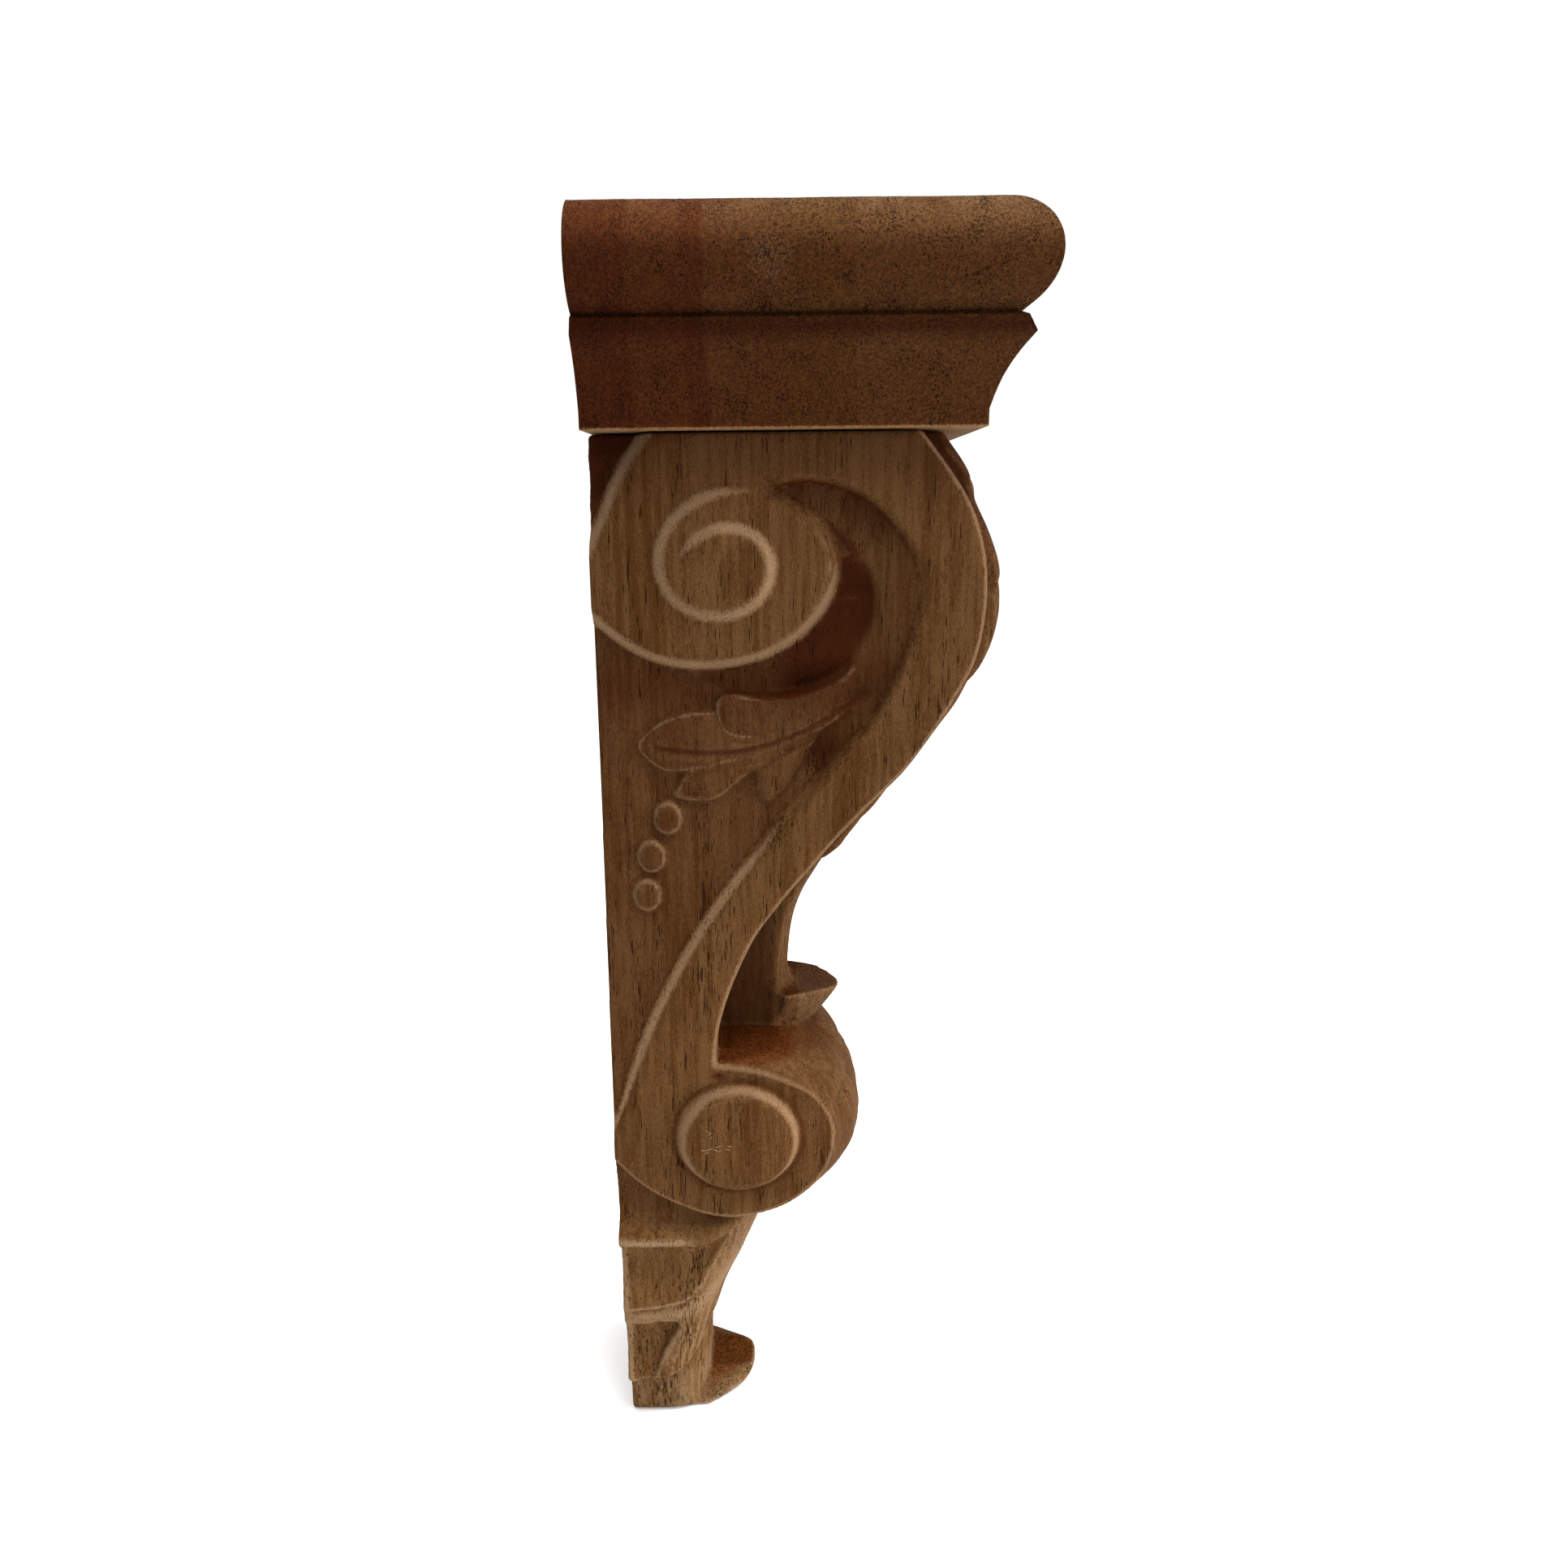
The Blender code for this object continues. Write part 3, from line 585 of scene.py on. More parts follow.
    def bevel_marks(self, inward: np.ndarray) -> np.ndarray:
        """Return the marks of the wide sanded bevels: 0 in their middle, 0.5 at their sides.

        Args:
            inward: how far each place lies inside the scroll, negative outside.

        Returns:
            The least mark at each place.
        """
        side = np.sign(inward)
        volute_fade = 0.9 * ease((self.height - 184.0) / 18.0)
        band_fade = 0.7 * ease((self.height - 128.0) / 24.0)
        band_width = self.bevel * (0.5 + 0.36 * ease((self.height - 80.0) / 14.0))
        button_width = self.button_bevel * (1.0 + 0.6 * ease((22.0 - self.depth) / 6.0))
        lip = self.height - profile_of_depth(TAIL_LIP, self.depth)
        lip_fade = 0.5 * ease((self.depth - 13.0) / 6.0)
        marks = [
            strip(side * self.distance(VOLUTE_OUTER_EDGE), self.bevel) + volute_fade,
            strip(side * self.distance(VOLUTE_BACK_EDGE), 1.2 * self.bevel),
            strip(side * self.distance(BAND_INNER_EDGE), band_width) + band_fade,
            strip(self.button_radius - self.button_reach(), button_width) + 0.06,
            strip(lip, self.lip_height) + lip_fade + 0.14,
        ]
        for ring, growth in self.snail_rings():
            marks.append(strip(ring, self.snail_bevel) + 0.55 * (1.0 - growth))
        return np.minimum.reduce(marks)

    def berry_span(self, centre: Point) -> np.ndarray:
        """Return the distance from a berry's middle as a share of its size."""
        return np.hypot((self.depth - centre[0]) / BERRY_HALF_AXES[0],
                        (self.height - centre[1]) / BERRY_HALF_AXES[1])

    def spray_marks(self) -> tuple[np.ndarray, np.ndarray]:
        """Return the marks of the spray's light edges and of the painted shadow round its lobes.

        The light edges are part sanding and part painted highlight.

        Returns:
            The marks of the light edges, and the distances from the corners of painted shadow.
        """
        line = np.full_like(self.depth, NO_MARK)
        dark = np.full_like(self.depth, NO_MARK)
        uneven = 0.07 * np.sin(0.9 * self.depth + 0.7 * self.height)
        fade = 0.9 * ease((self.depth - 27.0) / 18.0) + uneven
        for outline in SPRAY_OUTLINES:
            deep = depth_inside(smooth_curve([*outline, outline[0]], 5), self.depth, self.height)
            edge = strip(deep, 1.3) + 0.27 + fade
            line = np.where(deep > 0, edge, np.minimum(line, edge))
            dark = np.where(deep > 0, NO_MARK, np.minimum(dark, 0.2 - deep))
        for centre in BERRY_CENTRES:
            span = self.berry_span(centre)
            line = np.minimum(line, strip(self.berry_edge - span, 0.42) + 0.18)
            outside = (span - self.berry_edge) * BERRY_HALF_AXES[0] + 0.2
            dark = np.where(span < self.berry_edge, NO_MARK, np.minimum(dark, outside))
        over = self.height - profile_of_depth(SPRAY_VEIN, self.depth)
        along_vein = (self.depth > SPRAY_VEIN[0][0]) & (self.depth < 46.0)
        line = np.minimum(line, np.where(along_vein, np.abs((over - 0.9) / 0.8) + 0.22, NO_MARK))
        return line, np.minimum(dark, 1.5 * self.distance(SPRAY_VEIN) - 0.05)

    def line_marks(self, inward: np.ndarray) -> np.ndarray:
        """Return the marks of the thin light edges: 0 in their middle, 0.5 at their sides.

        Args:
            inward: how far each place lies inside the scroll, negative outside.

        Returns:
            The least mark at each place.
        """
        side = np.sign(inward)
        upper = ease((self.height - 84.0) / 4.0) * ease((self.depth - 18.0) / 4.0)
        roll_edge = strip(side * self.distance(ROLL_ARRIS), self.thin_edge + 0.7 * upper)
        scoop = profile_of_depth(TAIL_SCOOP_EDGE, self.depth)
        foot = profile_of_depth(TAIL_FOOT_EDGE, self.depth)
        pocket = self.pocket()
        band = strip(self.height - self.pocket_top, scoop - self.pocket_top) + 0.2
        torn = 0.50 + 0.17 * np.sin(FULL_TURN * (0.62 * self.depth - 0.16 * self.height))
        fibres = (pocket < 0) & (self.height < scoop) & (self.height > foot) & (self.depth > 8.5)
        beside_back = (self.height > 12.0) & (self.height < 48.0)
        return np.minimum.reduce([
            self.spray_marks()[0],
            strip(side * self.distance(FRONT_ARRIS), self.thin_edge),
            roll_edge + 0.08 * upper,
            strip(self.height - scoop, self.thin_edge),
            strip(self.height - foot, self.thin_edge),
            np.where(self.height < scoop, band, NO_MARK),
            strip(-pocket, self.thin_edge),
            np.where(fibres, torn, NO_MARK),
            np.where(beside_back, strip(self.depth, 1.6), NO_MARK),
        ])

    def crevice_marks(self, inward: np.ndarray) -> np.ndarray:
        """Return the distance from the inner corners at the foot of the relief, where painted shade
        darkens the wood.

        Args:
            inward: how far each place lies inside the scroll, negative outside.

        Returns:
            The distance at each place, at most NO_MARK.
        """
        under = (inward < 0) & self.on_side()
        outside = np.where(under & (self.height > 60.0), -inward, NO_MARK)
        button_shade = np.abs(self.button_reach() - self.button_shade_radius) + 0.3
        marks = [outside, self.spray_marks()[1], button_shade]
        for edge in (TAIL_LIP, TAIL_SCOOP_EDGE, TAIL_FOOT_EDGE):
            gap = profile_of_depth(edge, self.depth) - self.height
            marks.append(np.where(under & (gap > 0), gap, NO_MARK) + 0.2)
        pocket = self.pocket()
        marks.append(np.where(pocket > 0, pocket + 0.3, NO_MARK))
        marks += [self.reach_from(centre, 2.2) for centre in TORN_PITS]
        return np.minimum(np.minimum.reduce(marks), NO_MARK)

    def hollow_marks(self, inward: np.ndarray) -> np.ndarray:
        """Return how shaded each place is by the relief round it, 0 to 1.

        Args:
            inward: how far each place lies inside the scroll, negative outside.

        Returns:
            The shade at each place.
        """
        fade = 0.2 + 0.8 * ease((self.depth - 24.0) / 16.0)
        channel = ease((depth_inside(channel_outline(), self.depth, self.height) + 0.3) / 1.6) * fade
        notch = 0.65 * ease((14.0 - self.depth) / 5.0) * ease((self.height - 194.0) / 5.0)
        root = 0.95 * hump(self.reach_from(self.shade_root), 5.0)
        under_volute = 0.4 * hump(self.height - 169.0, 6.0)
        below_cap = 0.35 * ease((self.height - 196.0) / 16.0)
        field_shade = 0.32 * ease((self.height - 50.0) / 7.0)
        sunk = np.maximum(np.maximum(channel, notch), np.maximum(root, field_shade + under_volute))
        return np.where((inward < 0) & self.on_side(), sunk, 0.0) + below_cap

    def marks(self) -> list[np.ndarray]:
        """Return the marks of bevels, thin edges, crevices and hollows.

        Returns:
            The four layers, in the order of SurfaceMarks.
        """
        inward = self.inward()
        hollow = soften(self.hollow_marks(inward), 0.8, (0, 1))
        return [self.bevel_marks(inward), self.line_marks(inward), self.crevice_marks(inward), hollow]


@dataclass
class FrontLeaf:
    """The acanthus leaf down the front, on a grid of half widths and heights.

    All sizes are in millimetres.
    """

    across: np.ndarray
    height: np.ndarray
    lobe_depth: float = 2.6
    sheet_share: float = 0.30
    vein_depth: float = 0.9
    edge_drop: float = 1.5
    rib_half_width: float = 2.4
    neck_half_width: float = 7.0
    neck_top: float = 128.0

    def lobes(self) -> tuple[np.ndarray, np.ndarray]:
        """Model the overlapping lobes.

        Returns:
            How high the lobes stand from 0 to 1, and how far each place lies
            outside their common outline.
        """
        stand = np.zeros_like(self.across)
        outside = np.full_like(self.across, 1e3)
        for root_height, tip_across, tip_height, half_width in reversed(LEAF_LOBES):
            bend = (0.72 * tip_across, 0.62 * root_height + 0.38 * tip_height - 1.0)
            vein = smooth_curve([(0.5, root_height), bend, (tip_across, tip_height)], 8)
            gap, place = distance_to(vein, self.across, self.height)
            swell = np.sin(math.pi * np.clip(place, 0.0, 1.0) ** 0.75) ** 0.6
            fingers = 1.0 + 0.13 * np.cos(FULL_TURN * 3.5 * place) * ease((place - 0.25) / 0.2)
            half = half_width * swell * fingers + 0.35
            edge = gap - half
            pillow = np.sqrt(np.clip(1.0 - (gap / half) ** 2, 0.0, 1.0))
            groove = self.vein_depth / self.lobe_depth * hump(gap, 0.8) * ease(place * 4.0)
            lift = 0.55 + 0.45 * ease(place * 1.6)
            lobe = pillow ** 0.7 * lift - groove * (edge < 0)
            stand = np.where(edge < 0, np.maximum(lobe, 0.62 * stand), stand)
            outside = np.minimum(outside, edge)
        return stand, outside

    def rib(self) -> np.ndarray:
        """Return the height of the midrib from 0 to 1 of the lobes' depth.

        Returns:
            The rib's height, negative in the gutter beside it.
        """
        half = self.rib_half_width * (0.65 + 0.35 * ease((self.height - 125.0) / 60.0))
        crown = np.sqrt(np.clip(1.0 - (self.across / half) ** 2, 0.0, 1.0))
        gutter = 0.35 * hump(self.across - half - 0.5, 0.8)
        return 0.92 * crown - gutter

    def surface(self) -> tuple[np.ndarray, np.ndarray]:
        """Return the leaf's depth and how far each place lies outside its outline.

        Returns:
            The depth, and the distance outside the outline.
        """
        profile = profile_depth(LEAF_FRONT, self.height)
        stand, outside = self.lobes()
        sheet_half = 9.5 * ease((self.height - 122.0) / 60.0) + 3.0
        outside = np.minimum(outside, self.across - sheet_half)
        near_rib = self.across < self.rib_half_width + 2.5
        rib = np.where(near_rib, np.maximum(self.rib() - self.sheet_share, -0.2), 0.0)
        relief = np.maximum(stand, self.sheet_share) + rib
        depth = profile - self.lobe_depth * (1.0 - np.clip(relief, 0.0, 1.05))
        depth = depth - self.edge_drop * ease((self.across - 9.0) / 11.0)
        neck_depth = profile - 0.045 * self.across ** 2 - 0.7 * hump(self.across - 2.6, 0.7)
        settle = ease((self.neck_top + 5.0 - self.height) / 10.0)
        depth = depth + (neck_depth - depth) * settle
        spread = 0.3 + 0.7 * ease((self.neck_top + 12.0 - self.height) / 17.0)
        spread = spread + 0.25 * ease((104.0 - self.height) / 8.0)
        outside = np.minimum(outside, self.across - self.neck_half_width * spread)
        return depth, outside


@dataclass
class CarvedBody:
    """The carved body: a block of space cut by the side relief, the front and the tail.

    All sizes are in millimetres.
    """

    spacing: float = 0.5
    space_half_width: float = 33.0
    space_depth: float = 84.0
    border: float = 22.0
    border_step: float = 1.6
    spray_limit: float = 27.6
    corner: float = 0.32
    triangles: int = 196000
    leaf_tip_top: float = 99.2
    leaf_tip_root: float = 35.2
    leaf_tip_reach: float = 48.5
    leaf_tip_foot: float = 88.9
    leaf_tip_foot_reach: float = 40.4
    leaf_tip_half_width: float = 12.2
    leaf_tip_foot_half_width: float = 5.6
    roll_top: float = 91.6
    roll_back: float = 24.0
    roll_half_width: float = 27.6
    roll_crown_half_width: float = 27.5
    reeds_top: float = 80.6
    reed_pitch: float = 4.8
    reed_depth: float = 0.45
    tail_top: float = 60.0
    tail_tip_top: float = 4.4
    tail_tip_root: float = 17.2
    tail_tip_reach: float = 28.2
    tail_foot_reach: float = 26.9
    tail_tip_half_width: float = 6.8
    tail_foot_half_width: float = 15.5
    tail_shoulder: float = 0.55
    foot_rounding: float = 1.6
    flute_pitch: float = 4.2
    flute_depth: float = 0.4
    x: np.ndarray = field(init=False)
    depth: np.ndarray = field(init=False)
    height: np.ndarray = field(init=False)

    def __post_init__(self) -> None:
        """Lay out the cells' corners: half the width, and all the depth and height."""
        step = self.spacing
        self.x = np.arange(0.5 * step, self.space_half_width, step)
        self.depth = np.arange(-2.0 * step, self.space_depth, step)
        self.height = np.arange(-3.0 * step, PATTERN_HEIGHT + 3.0 * step, step)

    def side_shape(self) -> np.ndarray:
        """Return the field of the scrolls, the ground behind them and the tail.

        Returns:
            The field, negative inside the wood.
        """
        depth, height = np.meshgrid(self.depth, self.height, indexing="ij")
        relief = SideRelief(depth, height)
        outline = relief.scroll_outline()
        beyond = -depth_inside(outline, depth, height)
        face = soften(relief.face(), 0.6, (0, 1))
        ground = np.minimum(relief.ground() + relief.spray(), self.spray_limit)
        ground = soften(ground, 0.45, (0, 1))
        x = self.x[:, None, None]
        panel = np.maximum(x - face[None], beyond[None])
        panel = np.maximum(panel, self.border - 1.5 - x)
        front = self.ground_front()
        core = np.maximum(x - ground[None], self.depth[None, :, None] - front[:, None, :])
        core = np.maximum(core, SCROLL_FOOT - self.height[None, None, :])
        tail = self.tail_shape(relief.tail())
        return np.minimum(np.minimum(panel, core), tail)

    def ground_front(self) -> np.ndarray:
        """Return the depth of the ground between the two scrolls.

        Returns:
            The depth for each half width and height.
        """
        x, height = np.meshgrid(self.x, self.height, indexing="ij")
        arris = np.where(height > self.roll_top, front_arris_depth(height), roll_arris_depth(height))
        inner = ease((self.border - x) / 1.2)
        return arris - self.border_step * inner - 1.5 * ease((x - self.border - 1.0) / 1.0)

    def tail_shape(self, side: np.ndarray) -> np.ndarray:
        """Return the field of the tail with its curled foot.

        Args:
            side: the half width of the tail's side at each depth and height.

        Returns:
            The field, negative inside the wood.
        """
        x = self.x[:, None, None]
        depth = self.depth[None, :, None]
        height = self.height[None, None, :]
        front = profile_depth(TAIL_FRONT, self.height)[None, None, :]
        flutes = np.sin(FULL_TURN * (x + 0.16 * height) / self.flute_pitch)
        front = front + self.flute_depth * flutes * ease((18.0 - x) / 4.0) * ease((height - 8.0) / 8.0)
        shoulder = self.tail_shoulder * front
        bow = np.clip((depth - shoulder) / (front - shoulder), 0.0, None)
        across = x / side[None]
        shape = (bow ** 2.3 + np.clip(across, 0.0, None) ** 3.2) ** 0.35 - 1.0
        tail = np.where(bow > 0, shape * 9.0, x - side[None])
        tail = np.maximum(tail, height - self.tail_top)
        tip = self.tail_tip(x, depth, height)
        foot = np.minimum(tail, tip)
        radius = self.foot_rounding
        below, beyond = np.clip(radius - height, 0.0, None), np.clip(radius + foot, 0.0, None)
        rounding = np.hypot(below, beyond) - radius
        return np.where(height < radius, np.maximum(foot, rounding), foot)

    def tail_tip(self, x: np.ndarray, depth: np.ndarray, height: np.ndarray) -> np.ndarray:
        """Return the field of the curled tip on which the tail ends, dished on top.

        Args:
            x: the distance from the middle plane.
            depth: the depth in front of the back.
            height: the height above the foot.

        Returns:
            The field, negative inside the wood.
        """
        rise = np.clip(height / self.tail_tip_top, 0.0, 1.0)
        root = self.tail_tip_root
        reach = self.tail_foot_reach + (self.tail_tip_reach - self.tail_foot_reach) * rise - root
        spread = self.tail_foot_half_width - self.tail_tip_half_width
        half = self.tail_foot_half_width - spread * rise ** 1.2
        bow = 1.0 - np.clip(x / half, 0.0, 1.2) ** (2.0 + 2.0 * rise)
        nose = root + reach * bow
        dish = self.tail_tip_top - 1.0 * np.clip(1.0 - (x / 6.0) ** 2, 0.0, 1.0)
        sides = np.maximum((depth - nose) * 0.6, (x - half) * 0.8)
        return np.maximum(np.maximum(sides, height - dish), 4.0 - depth)

    def front_shape(self) -> np.ndarray:
        """Return the field of the leaf, its tip and the roll below it.

        Returns:
            The field, negative inside the wood.
        """
        x, height = np.meshgrid(self.x, self.height, indexing="ij")
        leaf_depth, outside = FrontLeaf(x, height).surface()
        depth = self.depth[None, :, None]
        leaf = np.maximum(depth - leaf_depth[:, None, :], outside[:, None, :])
        leaf = np.maximum(leaf, self.roll_top - 1.0 - self.height[None, None, :])
        drop = np.clip((self.leaf_tip_top - height) / (self.leaf_tip_top - self.leaf_tip_foot), 0.0, 1.0)
        reach = self.leaf_tip_reach + (self.leaf_tip_foot_reach - self.leaf_tip_reach) * drop ** 1.25
        shrink = self.leaf_tip_foot_half_width - self.leaf_tip_half_width
        half = self.leaf_tip_half_width + shrink * drop ** 1.3
        bow = self.leaf_tip_root + (reach - self.leaf_tip_root) * (1.0 - (x / half) ** 2.2)
        dish = 0.9 * np.clip(1.0 - (x / 7.5) ** 2, 0.0, 1.0)
        lid = height - (self.leaf_tip_top - dish)
        tip = np.maximum((depth - bow[:, None, :]) * 0.7, lid[:, None, :])
        tip = np.maximum(tip, self.leaf_tip_foot - 1.2 - self.height[None, None, :])
        behind = (self.leaf_tip_root - 2.5 - depth) * 0.6 + 0.45 * (x - 7.0)[:, None, :]
        tip = np.maximum(tip, behind)
        return np.minimum(blend_lower(leaf, tip, 4.0), self.roll_shape(x, height))

    def roll_shape(self, x: np.ndarray, height: np.ndarray) -> np.ndarray:
        """Return the field of the round roll between the lower volutes.

        Args:
            x: the distance from the middle plane.
            height: the height above the foot.

        Returns:
            The field, negative inside the wood.
        """
        panel = roll_arris_depth(height)
        crown = profile_depth(ROLL_FRONT, height)
        fullness = 2.6 + 8.0 * ease((height - 87.0) / 4.0)
        barrel = 1.0 - np.clip(x / self.roll_crown_half_width, 0.0, 1.0) ** fullness
        wave = np.abs(np.sin(math.pi * (x + 0.5 * self.reed_pitch) / self.reed_pitch))
        reeds = self.reed_depth * wave * ease((20.0 - x) / 2.0)
        below_leaf = ease((self.reeds_top - height) / 1.2)
        shell = 0.5 * np.cos(math.pi * x / 3.1) * ease((9.5 - x) / 2.0) * (1.0 - below_leaf)
        front = panel + (crown - panel) * barrel - 0.5 * below_leaf + reeds * below_leaf + 0.4 * shell
        roll = self.depth[None, :, None] - front[:, None, :]
        roll = np.maximum(roll, self.height[None, None, :] - self.roll_top)
        roll = np.maximum(roll, self.roll_back - self.depth[None, :, None])
        ends = np.maximum(SCROLL_FOOT - self.height[None, None, :], x[:, None, :] - self.roll_half_width)
        return np.maximum(roll, ends)

    def hand_marks(self) -> np.ndarray:
        """Return the small unevenness that hand finishing leaves.

        Returns:
            The amount by which the surface is moved in or out.
        """
        x = self.x[:, None, None]
        depth = self.depth[None, :, None]
        height = self.height[None, None, :]
        waves = np.sin(0.31 * depth + 0.17 * height + 1.3) * np.sin(0.23 * height - 0.4 * x)
        return 0.08 * waves

    def space(self) -> np.ndarray:
        """Return the whole field, negative inside the wood.

        Returns:
            The field over the whole width.
        """
        depth = self.depth[None, :, None]
        height = self.height[None, None, :]
        solid = blend_lower(self.side_shape(), self.front_shape(), 0.7) + self.hand_marks()
        solid = soften(solid.astype(np.float32), self.corner / self.spacing, (0, 1, 2))
        solid = np.maximum(solid, -depth)
        solid = np.maximum(solid, np.maximum(height - PATTERN_HEIGHT, -height))
        return np.concatenate([solid[::-1], solid], axis=0).astype(np.float32)


@dataclass
class NetMesh:
    """A closed surface net: its corners, in cells of the field, and faces of four corners."""

    corners: np.ndarray
    faces: np.ndarray


def surface_net(space: np.ndarray) -> NetMesh:
    """Wrap the zero surface of a field in a net with one corner to a cell.

    Args:
        space: the field on a regular grid, negative inside.

    Returns:
        The net, with its corners in cells.
    """
    solid = space < 0
    shape = tuple(size - 1 for size in space.shape)
    count = np.zeros(shape, dtype=np.int8)
    for i, j, k in CUBE_CORNERS:
        count += solid[i:i + shape[0], j:j + shape[1], k:k + shape[2]]
    cells = np.argwhere((count > 0) & (count < 8))
    number = np.full(shape, -1, dtype=np.int64)
    number[tuple(cells.T)] = np.arange(len(cells))
    values = {step: space[tuple((cells + step).T)] for step in CUBE_CORNERS}
    total = np.zeros((len(cells), 3))
    crossings = np.zeros(len(cells))
    for start in CUBE_CORNERS:
        for axis in range(3):
            if start[axis]:
                continue
            end = tuple(value + (index == axis) for index, value in enumerate(start))
            low, high = values[start], values[end]
            cut = (low < 0) != (high < 0)
            share = np.where(cut, low / np.where(cut, low - high, 1.0), 0.0)
            place = np.array(start, dtype=float)[None] + share[:, None] * np.eye(3)[axis]
            total += np.where(cut[:, None], place, 0.0)
            crossings += cut
    corners = cells + total / crossings[:, None]
    faces = []
    for axis in range(3):
        low = [slice(None)] * 3
        high = [slice(None)] * 3
        low[axis], high[axis] = slice(None, -1), slice(1, None)
        before, after = solid[tuple(low)], solid[tuple(high)]
        first, second = [(1, 2), (2, 0), (0, 1)][axis]
        for leaving in (True, False):
            edges = np.argwhere((before == leaving) & (after != leaving))
            keep = np.all(edges[:, [first, second]] > 0, axis=1)
            edges = edges[keep]
            ring = []
            for one, two in ((-1, -1), (0, -1), (0, 0), (-1, 0)):
                cell = edges.copy()
                cell[:, first] += one
                cell[:, second] += two
                ring.append(number[tuple(cell.T)])
            quad = np.stack(ring, axis=1)
            faces.append(quad if leaving else quad[:, ::-1])
    return NetMesh(corners, np.vstack(faces))


def sample_space(space: np.ndarray, places: np.ndarray) -> np.ndarray:
    """Read a field between its grid points.

    Args:
        space: the field.
        places: the places to read, in cells.

    Returns:
        The field's value at each place.
    """
    limit = np.array(space.shape) - 2
    base = np.clip(np.floor(places).astype(int), 0, limit)
    share = np.clip(places - base, 0.0, 1.0)
    total = np.zeros(len(places))
    for step in CUBE_CORNERS:
        weight = np.prod(np.where(step, share, 1.0 - share), axis=1)
        total += weight * space[tuple((base + step).T)]
    return total


def mesh_object(name: str, corners: np.ndarray, faces: np.ndarray) -> bpy.types.Object:
    """Make an object from corners in metres and faces of equal corner counts.

    Args:
        name: its name.
        corners: one row for each corner.
        faces: the corner numbers of each face, one row for each.

    Returns:
        The object, linked to the scene.
    """
    mesh = bpy.data.meshes.new(name)
    sides = faces.shape[1]
    mesh.vertices.add(len(corners))
    mesh.vertices.foreach_set("co", corners.astype(np.float32).ravel())
    mesh.loops.add(faces.size)
    mesh.loops.foreach_set("vertex_index", faces.astype(np.int32).ravel())
    mesh.polygons.add(len(faces))
    mesh.polygons.foreach_set("loop_start", np.arange(0, faces.size, sides, dtype=np.int32))
    mesh.update(calc_edges=True)
    mesh.validate()
    item = bpy.data.objects.new(name, mesh)
    bpy.context.scene.collection.objects.link(item)
    return item


def thin_out(item: bpy.types.Object, triangles: int) -> None:
    """Reduce an object's mesh to a number of triangles, and shade it smooth.

    Args:
        item: the object.
        triangles: the most triangles to keep.
    """
    count = sum(len(face.vertices) - 2 for face in item.data.polygons)
    if count > triangles:
        modifier = item.modifiers.new("fewer faces", "DECIMATE")
        modifier.ratio = triangles / count
        graph = bpy.context.evaluated_depsgraph_get()
        mesh = bpy.data.meshes.new_from_object(item.evaluated_get(graph))
        item.modifiers.clear()
        item.data = mesh
    item.data.shade_smooth()


@dataclass
class SurfaceMarks:
    """Per-corner values that the wood's finish reads.

    wear is how far a corner stands out, in millimetres. bevel and line are 0 in
    the middle of a sanded bevel or edge and 0.5 at its sides; on the spray the
    line also marks painted highlight on the lobes' edges. crevice is the distance
    from an inner corner that gets painted shade, in millimetres, and hollow is 1
    where painted shade fills a hollow.
    """

    wear: np.ndarray
    bevel: np.ndarray
    line: np.ndarray
    crevice: np.ndarray
    hollow: np.ndarray

    def store(self, mesh: bpy.types.Mesh) -> None:
        """Write the values on a mesh as attributes of its corners.

        Args:
            mesh: the mesh.
        """
        for name, values in vars(self).items():
            layer = mesh.attributes.new(name, "FLOAT", "POINT")
            layer.data.foreach_set("value", values.astype(np.float32))


def unmarked(count: int) -> SurfaceMarks:
    """Return the marks of a plain surface."""
    far = np.full(count, NO_MARK)
    return SurfaceMarks(np.zeros(count), far, far.copy(), far.copy(), np.zeros(count))


def edge_ends(mesh: bpy.types.Mesh) -> tuple[np.ndarray, np.ndarray]:
    """Return the two corner numbers of every edge of a mesh.

    Args:
        mesh: the mesh.

    Returns:
        The first and the second corner of each edge.
    """
    ends = np.empty(len(mesh.edges) * 2, dtype=np.int64)
    mesh.edges.foreach_get("vertices", ends)
    return ends[0::2], ends[1::2]


def mesh_corners(mesh: bpy.types.Mesh) -> tuple[np.ndarray, np.ndarray]:
    """Return the places and the normals of a mesh's corners.

    Args:
        mesh: the mesh.

    Returns:
        The places and the normals, one row for each corner.
    """
    places = np.empty(len(mesh.vertices) * 3)
    normals = np.empty(len(mesh.vertices) * 3)
    mesh.vertices.foreach_get("co", places)
    mesh.vertices.foreach_get("normal", normals)
    return places.reshape(-1, 3), normals.reshape(-1, 3)


def spread_over(mesh: bpy.types.Mesh, values: np.ndarray, rounds: int) -> np.ndarray:
    """Average values with their neighbours on a mesh.

    Args:
        mesh: the mesh.
        values: one row for each corner.
        rounds: how many times each corner takes its neighbours' average.

    Returns:
        The averaged rows.
    """
    first, second = edge_ends(mesh)
    count = np.bincount(first, minlength=len(values)) + np.bincount(second, minlength=len(values))
    for _ in range(rounds):
        total = np.zeros_like(values)
        np.add.at(total, first, values[second])
        np.add.at(total, second, values[first])
        values = 0.5 * values + 0.5 * total / np.maximum(count, 1)[:, None]
    return values


def bulge(mesh: bpy.types.Mesh, rounds: int) -> np.ndarray:
    """Return how far each corner stands out of its surroundings, in metres, negative in hollows."""
    places, normals = mesh_corners(mesh)
    return np.einsum("ij,ij->i", places - spread_over(mesh, places, rounds), normals)


